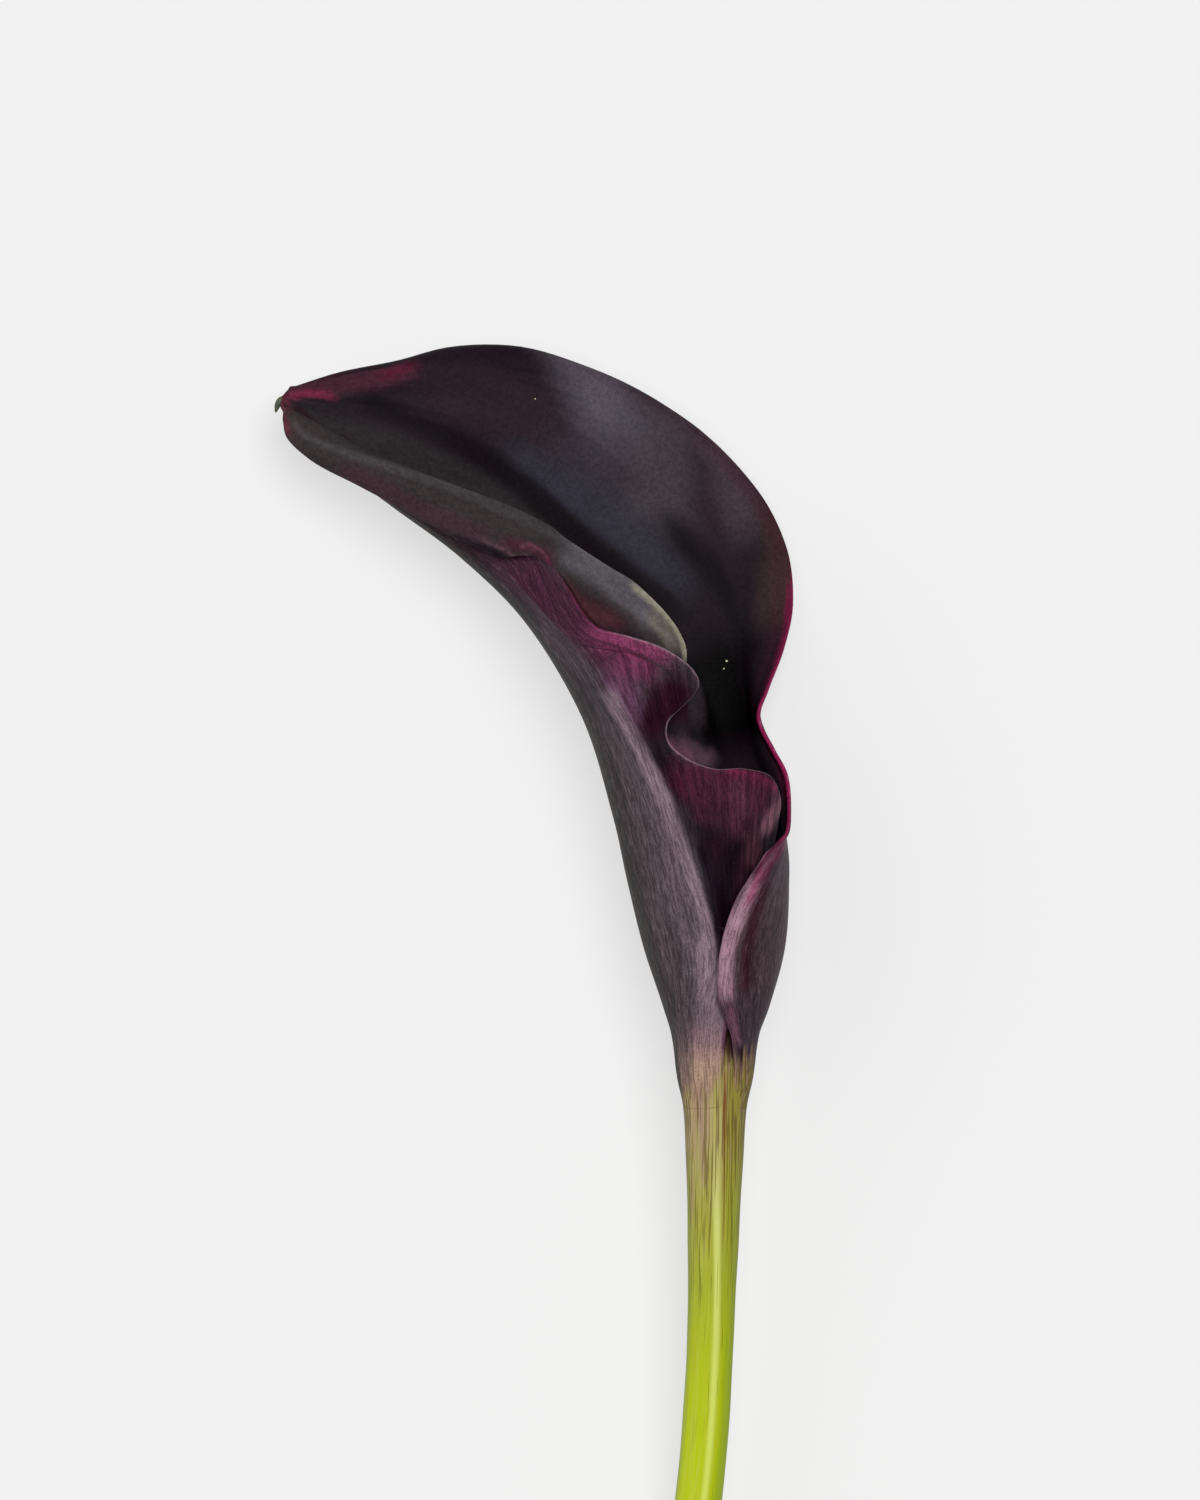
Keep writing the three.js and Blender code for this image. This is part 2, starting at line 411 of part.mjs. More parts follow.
const finishes = {
  stem: new THREE.MeshStandardMaterial({ color: 0xa9b824, roughness: 0.45, metalness: 0 }),
  spathe: new THREE.MeshStandardMaterial({ color: 0x4a3543, roughness: 0.5, metalness: 0 }),
  spadix: new THREE.MeshStandardMaterial({ color: 0xb98a2c, roughness: 0.7, metalness: 0 }),
};

function piece(name, geometry) {
  geometry.computeVertexNormals();
  const mesh = new THREE.Mesh(geometry, finishes[name]);
  mesh.name = name;
  return mesh;
}

const lily = new THREE.Group();
lily.add(piece('stem', stemGeometry()), piece('spathe', spatheGeometry()), piece('spadix', spadixGeometry()));
lily.position.copy(AXIS_PLACE);

export default lily;
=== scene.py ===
"""A cut calla lily, lying on a pale surface and seen from straight above.

The spathe is one sheet drawn by the solid model's guides, with small changes at the tip, the left
margin and the crest of the lip. All tables are in millimetres, from a zero on the funnel's axis
near the foot of the spathe.
"""
import math

import bmesh
import bpy
import numpy as np
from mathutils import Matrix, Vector


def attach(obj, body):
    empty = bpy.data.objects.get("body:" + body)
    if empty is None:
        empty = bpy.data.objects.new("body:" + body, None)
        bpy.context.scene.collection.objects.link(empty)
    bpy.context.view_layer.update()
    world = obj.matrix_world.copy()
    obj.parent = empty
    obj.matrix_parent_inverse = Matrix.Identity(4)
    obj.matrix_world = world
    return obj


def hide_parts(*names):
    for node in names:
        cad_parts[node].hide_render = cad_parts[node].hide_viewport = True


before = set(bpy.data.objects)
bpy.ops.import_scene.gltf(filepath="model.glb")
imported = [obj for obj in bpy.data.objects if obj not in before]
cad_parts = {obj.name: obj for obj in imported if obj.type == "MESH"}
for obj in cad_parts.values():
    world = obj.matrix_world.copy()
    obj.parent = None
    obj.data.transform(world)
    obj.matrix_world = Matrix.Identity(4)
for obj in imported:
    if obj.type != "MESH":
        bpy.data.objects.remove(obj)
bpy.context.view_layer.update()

MM = 0.001
# Where the drawing frame's zero stands in the object's own frame.
AXIS_PLACE = np.array((28.94, -0.44, 21.75))

# The guides of the sheet's outer face, from the tucked margin round to the lapping one. Each has its
# place across the sheet, and its points as hundredths of the sheet's height, x, y, z.
TUCKED_MARGIN = (0, (
    (0, 1.2, 3.6, 6), (4, 1.3, 6.4, 6.9), (8, 2.2, 9.6, 7.4), (12, 4, 13.4, 7.2), (20, 7.2, 20.8, 5.4),
    (30, 8.9, 31, 5), (36, 9.6, 38, 4.5), (39, 10.3, 42.6, 5.4), (41, 10.6, 45.8, 7.2), (43, 9, 49.4, 9.6),
    (45, 4.5, 50.6, 11.6), (47, -0.2, 50.4, 12.8), (49, -5, 52, 13), (50.5, -7.8, 54.6, 12.8),
    (52, -8, 57.8, 13), (54, -5, 60.8, 14), (56, -2.8, 63.8, 15.4), (58, -4.2, 66.6, 16.6),
    (60, -8.6, 69.5, 17.6), (62, -13.8, 71.2, 17.4), (64, -19, 72.8, 15.8), (66, -22, 76, 13.8),
    (68, -24.4, 80, 11.8), (70, -26.8, 83.2, 9.8), (72, -30.2, 84.6, 7.9), (74, -33.6, 84.4, 6.3),
    (77, -37.6, 86, 4.4), (81, -44, 89, 1.7), (85, -50, 92.3, -0.8), (89, -56.8, 96, -3.2),
    (94, -64.9, 100.4, -5), (97, -68.4, 103.6, -5.4), (100, -69.3, 106.6, -5.6)
))
FRONT_LOBE = (0.05, (
    (0, 0.6, 3.5, 6.1), (5, 1.1, 7.5, 7), (10, 1.6, 11.6, 8), (20, 5.2, 21, 8), (30, 6.4, 31, 8.4),
    (35, 6.4, 37.5, 9), (40, 7.4, 40.5, 9.4), (43, 5.8, 43.6, 10.6), (45, 3, 45.6, 11.4),
    (47, -1, 46.8, 12.2), (49, -5.2, 50.6, 12.7), (50.5, -8.6, 54.2, 12.9), (52, -9.2, 57.8, 13.2),
    (55, -6.4, 62, 14.8), (58, -7.2, 65.8, 16.4), (62, -14.6, 70.3, 17), (64, -19.8, 72, 15.3),
    (66, -22.9, 75.4, 13.2), (68, -25.3, 79.6, 11), (70, -27.4, 82.9, 9), (72, -29.3, 86, 8.6),
    (74, -31.8, 87.6, 7.5), (78, -38.4, 90.5, 5.1), (82, -44.5, 93, 2.7), (86, -50.5, 95.6, 0.5),
    (90, -57.3, 98.1, -2.1), (95, -65.2, 101.6, -4.9), (100, -69.4, 107.2, -6)
))
FRONT_VALLEY = (0.12, (
    (0, -0.4, 3.4, 6.1), (5, 0, 7.7, 7.05), (10, 0.4, 12, 8.5), (20, 2.2, 21.4, 10.4),
    (25, 1.2, 27.4, 10.4), (30, -0.4, 34, 10.4), (35, -1.6, 37.8, 10.6), (40, -2.8, 40.8, 10.9),
    (43, -2.9, 42.4, 11), (45, -3.1, 43.4, 11.2), (47, -3.9, 45.6, 11.8), (49, -6.2, 49.4, 12.5),
    (50.5, -9.4, 54, 13.2), (52, -11, 58, 13.8), (55, -10, 63.6, 15.2), (60, -14.4, 69.2, 15.8),
    (62, -17.4, 69.6, 15.3), (64, -21.4, 71.3, 13.9), (66, -24.4, 74.8, 11.9), (68, -26.7, 79.2, 9.6),
    (70, -28.4, 83, 7.8), (72, -29.9, 87, 7.6), (75, -32.6, 90.7, 7.5), (80, -40.5, 93.9, 4.1),
    (85, -48.4, 97, 1), (90, -56.3, 99.8, -1.9), (95, -62.9, 102.6, -4.6), (100, -69.5, 107.7, -6.3)
))
FRONT_RIDGE = (0.19, (
    (0, -2, 3.3, 5.8), (5, -1.9, 7.8, 6.85), (10, -1.8, 12.4, 8.4), (15, -0.8, 17.2, 10),
    (20, -0.8, 21.6, 11.2), (25, -2, 27.6, 12.3), (30, -4.2, 34.4, 13), (35, -5.6, 38.6, 13.4),
    (40, -6.8, 42, 13.6), (45, -8, 45.8, 13.8), (48, -9.6, 50, 14), (50, -11.2, 54, 14.2),
    (55, -16, 63, 14.5), (60, -20.6, 70.4, 13.8), (62, -22.4, 70.8, 13.2), (64, -24.3, 72.3, 11.9),
    (66, -26.3, 75, 10.3), (68, -28.2, 79.2, 8.2), (70, -29.8, 83.2, 6.6), (72, -32.6, 85.4, 4.6),
    (75, -36.2, 88.6, 3), (80, -43.2, 91.8, 0.8), (85, -49.8, 95.2, -1.2), (90, -57.2, 99, -3.6),
    (95, -64, 103, -5.4), (100, -69.6, 108.1, -6.7)
))
LEFT_FRONT = (0.27, (
    (0, -4.6, 3.2, 4.1), (5, -4.95, 7.9, 4.9), (10, -5.8, 12.6, 6.2), (20, -7.2, 21.8, 8.6),
    (30, -9.4, 32.2, 9.6), (40, -12, 42.6, 9.8), (45, -13.8, 49, 9.8), (50, -16.6, 57, 9.8),
    (55, -20.8, 65.2, 9.2), (60, -25.8, 72.4, 8.2), (70, -35.8, 84, 3.4), (75, -40.8, 87.6, 1.2),
    (80, -46.8, 91, -0.4), (90, -59.2, 98.9, -4.6), (95, -65.4, 102.8, -5.6), (100, -69.7, 108.5, -7.1)
))
LEFT_SIDE = (0.35, (
    (0, -6.15, 3.2, 0), (5, -6.95, 8, 0), (10, -8.4, 12.8, 0), (20, -11.4, 22, 0), (30, -14, 32.5, 0),
    (40, -16.4, 43.2, 0.3), (50, -21.2, 58.6, 0.3), (60, -30, 73.5, -1), (70, -40.3, 84, -3),
    (80, -51.2, 92.2, -5), (90, -61.6, 99.8, -6.8), (95, -66.8, 103.4, -7.4), (100, -69.8, 109, -7.5)
))
LEFT_BACK = (0.44, (
    (0, -4.4, 3.2, -4.4), (5, -5, 8, -5.05), (10, -6.1, 12.8, -6.2), (20, -8.4, 22.3, -7.8),
    (30, -10.4, 32.8, -8.6), (40, -13, 45.5, -9), (50, -17.5, 59.5, -9.8), (60, -25, 73, -11),
    (70, -34.5, 83.5, -11.6), (80, -45.5, 91.8, -11), (90, -58, 100, -10.2), (95, -64.2, 104.2, -9.6),
    (100, -69.8, 109.6, -8.4)
))
MIDRIB = (0.54, (
    (0, 0, 3.2, -6.2), (5, 0, 8, -7.1), (10, 0, 12.8, -8.7), (20, -0.5, 22.5, -11), (30, -1, 33.5, -12.4),
    (40, -2.5, 45.5, -13.4), (50, -5.8, 59, -14.8), (60, -11.5, 72.5, -16), (70, -19.5, 84.5, -16),
    (80, -30.5, 95, -14), (90, -45.5, 104, -11), (95, -56.5, 107.6, -10.2), (100, -69.5, 110.3, -8.8)
))
RIGHT_BACK = (0.66, (
    (0, 4.2, 3.2, -4.6), (5, 4.95, 7.9, -5.2), (10, 6.2, 12.5, -6.3), (20, 7.6, 22, -8.4),
    (30, 7.2, 32.5, -9.6), (40, 5.5, 44, -11.6), (50, 1.5, 56.5, -14), (60, -3.5, 70.5, -16.8),
    (70, -8.5, 84, -18), (80, -18.5, 96.8, -17.2), (90, -36, 107.5, -14), (95, -50, 110.6, -11),
    (100, -69, 110.9, -8.9)
))
RIGHT_SIDE = (0.78, (
    (0, 6.2, 3.2, -0.4), (5, 7, 8, -0.45), (10, 8.6, 12.4, -0.5), (20, 11.2, 21.8, -0.5),
    (30, 11.8, 31.5, -1.5), (35, 11.6, 36.5, -4), (40, 10.4, 42.5, -7), (50, 6.5, 54.5, -12),
    (60, 2.6, 68.5, -16.8), (70, -0.5, 83, -19.3), (80, -9, 96, -19.4), (90, -29, 110, -16.8),
    (95, -46, 112.8, -13), (100, -68.4, 111.4, -9.1)
))
FAR_WALL = (0.88, (
    (0, 5.8, 3.2, 2.2), (5, 6.3, 7.7, 3.5), (10, 7.4, 12, 5.2), (20, 8.2, 21.2, 8.4), (30, 10.2, 31, 7),
    (36, 11.3, 37, 4), (40, 11.4, 41, -0.5), (45, 10.6, 47.5, -5), (50, 8.3, 53.5, -9), (55, 6.5, 60, -13),
    (60, 5.8, 67, -16), (70, 7, 80, -20), (80, 1, 93.5, -20), (85, -8, 103, -19.6), (90, -23, 112.6, -18.8),
    (95, -43, 114.9, -15.2), (98, -57.4, 113.7, -12.2), (100, -67.9, 111.2, -9.3)
))
FAR_CREST = (0.95, (
    (0, 4.9, 3.3, 3.7), (4, 4.6, 6.6, 5.6), (8, 3.8, 10, 7.8), (12, 3.2, 13.5, 9.6), (16, 3.2, 17.2, 11.2),
    (20, 3.7, 21, 12.4), (24, 4.7, 25, 13.1), (28, 6, 28.6, 12.9), (32, 7.8, 32, 12), (35, 9.4, 35, 10),
    (38, 10.8, 37.8, 7), (41, 11.7, 40.6, 3.2), (44, 12, 44.2, -0.8), (48, 11.2, 49.8, -4.5),
    (52, 9.1, 54.4, -8), (56, 7.3, 59.5, -11), (60, 8, 64.6, -14), (65, 10.2, 71.5, -17.6),
    (70, 11.2, 78.5, -20.2), (75, 10.2, 87, -21.3), (80, 5.8, 95.2, -20.8), (85, -4.6, 105.8, -20),
    (90, -20.7, 114.6, -19.8), (93, -33, 118, -18.8), (95, -42.5, 117.8, -17.6), (97, -51.5, 115.5, -15),
    (98.5, -60, 113.8, -12.4), (100, -67.4, 111.4, -9.6)
))
LAPPING_MARGIN = (1, (
    (0, 4.2, 3.4, 4.6), (4, 3.3, 6.4, 6.6), (8, 1.9, 10, 8.8), (12, 0.7, 13.2, 10.7), (16, 0.3, 17, 12.2),
    (20, 0.7, 21, 13.2), (24, 1.6, 25.2, 14), (28, 3, 29, 14.2), (32, 5, 32.4, 14), (35, 7.2, 35.4, 13),
    (37, 8.6, 37.4, 11.8), (39, 10.6, 38.9, 9), (41, 11.8, 40.2, 6), (44, 12.2, 44, 2),
    (48, 11.8, 49.5, -2), (52, 9.7, 53.7, -5), (56, 7.4, 58.6, -8), (60, 8.75, 63, -11.5),
    (65, 11.4, 70, -16), (70, 12.8, 77.5, -19.6), (75, 11.6, 86.5, -21.3), (80, 6.6, 95.4, -21.4),
    (85, -4, 105.2, -21.2), (90, -20, 113.6, -21.2), (93, -32.5, 117, -21.3), (95, -42, 116.8, -20),
    (97, -51.5, 115, -16.8), (98.5, -59.8, 113.6, -13.6), (100, -66.9, 111.4, -10.2)
))
OUTER_GUIDES = (TUCKED_MARGIN, FRONT_LOBE, FRONT_VALLEY, FRONT_RIDGE, LEFT_FRONT, LEFT_SIDE, LEFT_BACK,
                MIDRIB, RIGHT_BACK, RIGHT_SIDE, FAR_WALL, FAR_CREST, LAPPING_MARGIN)
# The guides of the inner face, where it rolls out to the lip and folds.
LIP_MARGIN = (0, (
    (42, 9.8, 47.8, 7.6), (43, 8.6, 49.3, 9), (45, 4.4, 50.9, 10.9), (47, -0.2, 50.9, 12.2),
    (49, -4.6, 52.6, 12.6), (50.5, -7.2, 54.9, 12.3), (52, -7.4, 57.8, 12.5), (54, -4.5, 61.1, 13.5),
    (56, -2.5, 64.1, 14.8), (58, -4, 67.1, 16.1), (60, -8.4, 70.1, 17.2), (62, -13.5, 71.9, 17),
    (64, -18.5, 73.3, 15.6), (66, -21.4, 76.3, 13.9), (68, -23.8, 80.2, 12.2), (70, -26.4, 83.4, 10.4),
    (72, -30.1, 84.6, 8.6), (74, -33.7, 84.2, 7), (77, -37.8, 85.8, 5.1), (81, -44.2, 88.8, 2.4),
    (85, -50.2, 92.1, -0.1), (89, -57, 95.7, -2.5), (94, -65.1, 100.1, -4.4), (97, -68.6, 103.4, -4.8),
    (100, -69.3, 106.5, -5)
))
LIP = (0.05, (
    (42, 6, 43.4, 9.4), (45, 3, 46.4, 10), (47, -1, 49, 10.8), (49, -5, 54, 11.2), (50.5, -6.8, 57, 11.4),
    (52, -6.6, 59, 11.6), (54, -5.4, 61.6, 12.2), (56, -4.4, 64.2, 13.2), (58, -6, 67, 13.8),
    (60, -10.2, 69.8, 14.2), (64, -17.6, 73, 12.8), (66, -20.6, 76.2, 12.2), (68, -23, 80.2, 11.4),
    (70, -25.8, 84, 10.6), (72, -28.8, 86.3, 9.7), (74, -32, 87.6, 8.5), (78, -38.6, 90.4, 6.1),
    (82, -44.7, 93, 3.8), (86, -50.7, 95.6, 1.6), (90, -57.5, 98, -1.1), (95, -65.5, 101.8, -4),
    (100, -69.1, 107.3, -4.9)
))
STRIP = (0.09, (
    (42, 2, 43.6, 9.6), (45, -0.5, 46.5, 9.8), (47, -3.2, 51.2, 10.2), (49, -4, 57, 10.6),
    (50.5, -4.4, 61.8, 10.8), (52, -5, 63.6, 11), (55, -5.2, 67.6, 11.8), (60, -10.6, 74.4, 13.2),
    (65, -18, 79, 13), (70, -24.6, 86, 11.6), (75, -32.4, 90.2, 8.9), (80, -40.3, 93.3, 5.7),
    (85, -48.4, 96.3, 2.7), (90, -57.1, 99.2, -0.5), (95, -64.2, 102.4, -3.5), (100, -68.9, 108, -4.9)
))
CREST = (0.14, (
    (42, -4.4, 44, 10), (45, -4.6, 47, 10), (47, -6, 53.4, 10), (49, -6.4, 60.5, 9.8), (50.5, -6, 66, 10.4),
    (52, -4.9, 68.8, 11.8), (55, -5.9, 72.6, 13.4), (60, -11.4, 79, 14.8), (65, -17.5, 83.6, 14.4),
    (70, -24.2, 88.1, 12.7), (75, -32, 92.2, 10), (80, -40, 95.3, 6.6), (85, -48, 98.2, 3.2),
    (90, -56, 100.8, 0), (95, -62.2, 102.9, -3), (98, -65.8, 106, -4.6), (100, -68.6, 108.8, -5.2)
))
BEHIND_CREST = (0.2, (
    (42, -7.8, 44, 12), (45, -8.4, 47.5, 12.2), (47, -9, 53, 11.4), (49, -9, 60, 10.2),
    (50.5, -9, 65.4, 9.4), (52, -9.6, 68, 9.2), (55, -11, 72, 8.8), (60, -15.4, 77.4, 9),
    (65, -21.4, 81.4, 8.2), (70, -28, 86.6, 6.2), (75, -35, 91.2, 3.7), (80, -41.7, 94.8, 1.2),
    (85, -48.4, 98.2, -1.2), (90, -55.6, 101.6, -4), (95, -61.8, 105, -5.8), (100, -68.3, 108.6, -6.1)
))
INNER_GUIDES = (LIP_MARGIN, LIP, STRIP, CREST, BEHIND_CREST)

# Where the inner guides stop across the sheet, and the heights over which they take hold.
INNER_GUIDES_END = 0.28
INNER_GUIDES_FROM, INNER_GUIDES_FULL = 0.44, 0.49

WALL_THICK, MARGIN_THICK, TIP_THICK = 1.1, 0.7, 0.6
MARGIN_TAPER, TIP_TAPER_FROM = 0.1, 0.9
LEAST_HALF_WALL = 0.05
SLOPE_STEP = 0.004
CELLS_ACROSS, CELLS_ALONG = 170, 250
# The first cell edges from each end, close together for a round rim.
RIM_EDGES_ACROSS = (0.0008, 0.002, 0.004)
RIM_EDGES_ALONG = (0.0006, 0.0015, 0.003)

# How far the sheet's foot runs down the stem, how deep it is sunk into it, and the height on the sheet
# above which it keeps its own shape.
FOOT_OVERLAP, FOOT_SUNK, FOOT_FREE_FROM = 7, 0.08, 0.06

# The small green point at the tip: x, y, z, radius.
CUSP = ((-68.9, 110, -8.9, 0.45), (-69.6, 109.7, -8.7, 0.62), (-70.15, 108.9, -8.6, 0.5),
        (-70.5, 107.7, -8.8, 0.12))
CUSP_SIDES, CUSP_RINGS = 16, 15

# The stem's middle line as y, x, z, and its radius as y, radius.
STEM_PATH = ((-117, -11.6, -17.4), (-100, -7.9, -14), (-80, -4.4, -10), (-60, -1.9, -6.4),
             (-45, -0.9, -4.2), (-30, -0.4, -2.4), (-15, -0.1, -1), (0, 0, 0), (10, 0, 0))
STEM_RADII = ((-117, 4.1), (-100, 4), (-60, 3.82), (-35, 3.88), (-26, 4.1), (-18, 4.35), (-11, 4.7),
              (-5, 5.05), (-1.6, 5.4), (0.8, 5.85), (2.9, 6.1))
SHOULDER_Y = 2.9
RECEPTACLE_RADII = ((3.3, 5.95), (3.9, 5.5), (4.6, 5.05), (6, 4.7), (8.6, 4.3), (9.7, 3.3), (9.7, 1.5),
                    (9.7, 0))
STEM_CUT = -117
STRAIGHT_FROM_Y = -2
# The cut face's rings as shares of the stem's radius, and the gap to the first ring of its side.
CUT_RINGS = (0, 0.3, 0.55, 0.75, 0.88, 0.96)
CUT_EDGE = 0.1
STEM_SIDES, STEM_RINGS = 72, 150

# The stem's faint ribs (number, turn) and swellings (pace, start), their height, what the radius
# loses to them, and the radius from which they are full.
STEM_RIBS = ((7, 0.02), (11, -0.03))
STEM_SWELLINGS = ((0.21, 0), (0.47, 1))
STEM_RELIEF, STEM_SLIMMER, RELIEF_FULL_FROM = 0.02, 0.06, 3

SPADIX_FOOT_Y, SPADIX_TOP_Y = 10, 47
SPADIX_RADIUS, SPADIX_NARROWING, SPADIX_DOME_FROM = 3.1, 0.75, 0.9
SPADIX_SIDES, SPADIX_RINGS = 180, 261
FLORET_RELIEF, FLORETS_ROUND, FLORET_ROWS = 0.28, 18, 44

# The faces of the sheet, and the columns of it that a colour may keep to.
OUTSIDE, INSIDE, BOTH = 0, 1, 2
FRONT, FLAP, FLAP_EDGE = (0, 0.3), (0.8, 1), (0.93, 1)
WALL, FOLDS, ALL = (0.28, 1), (0, 0.28), (0, 1)

# The colours under all others, and those that the outside turns into between two places across it.
GROUND = {OUTSIDE: "#453b42", INSIDE: "#241c22"}
TURNING_GROUND = {OUTSIDE: (((0.27, 0.36), "#383732"), ((0.38, 0.76), "#43353f")), INSIDE: ()}

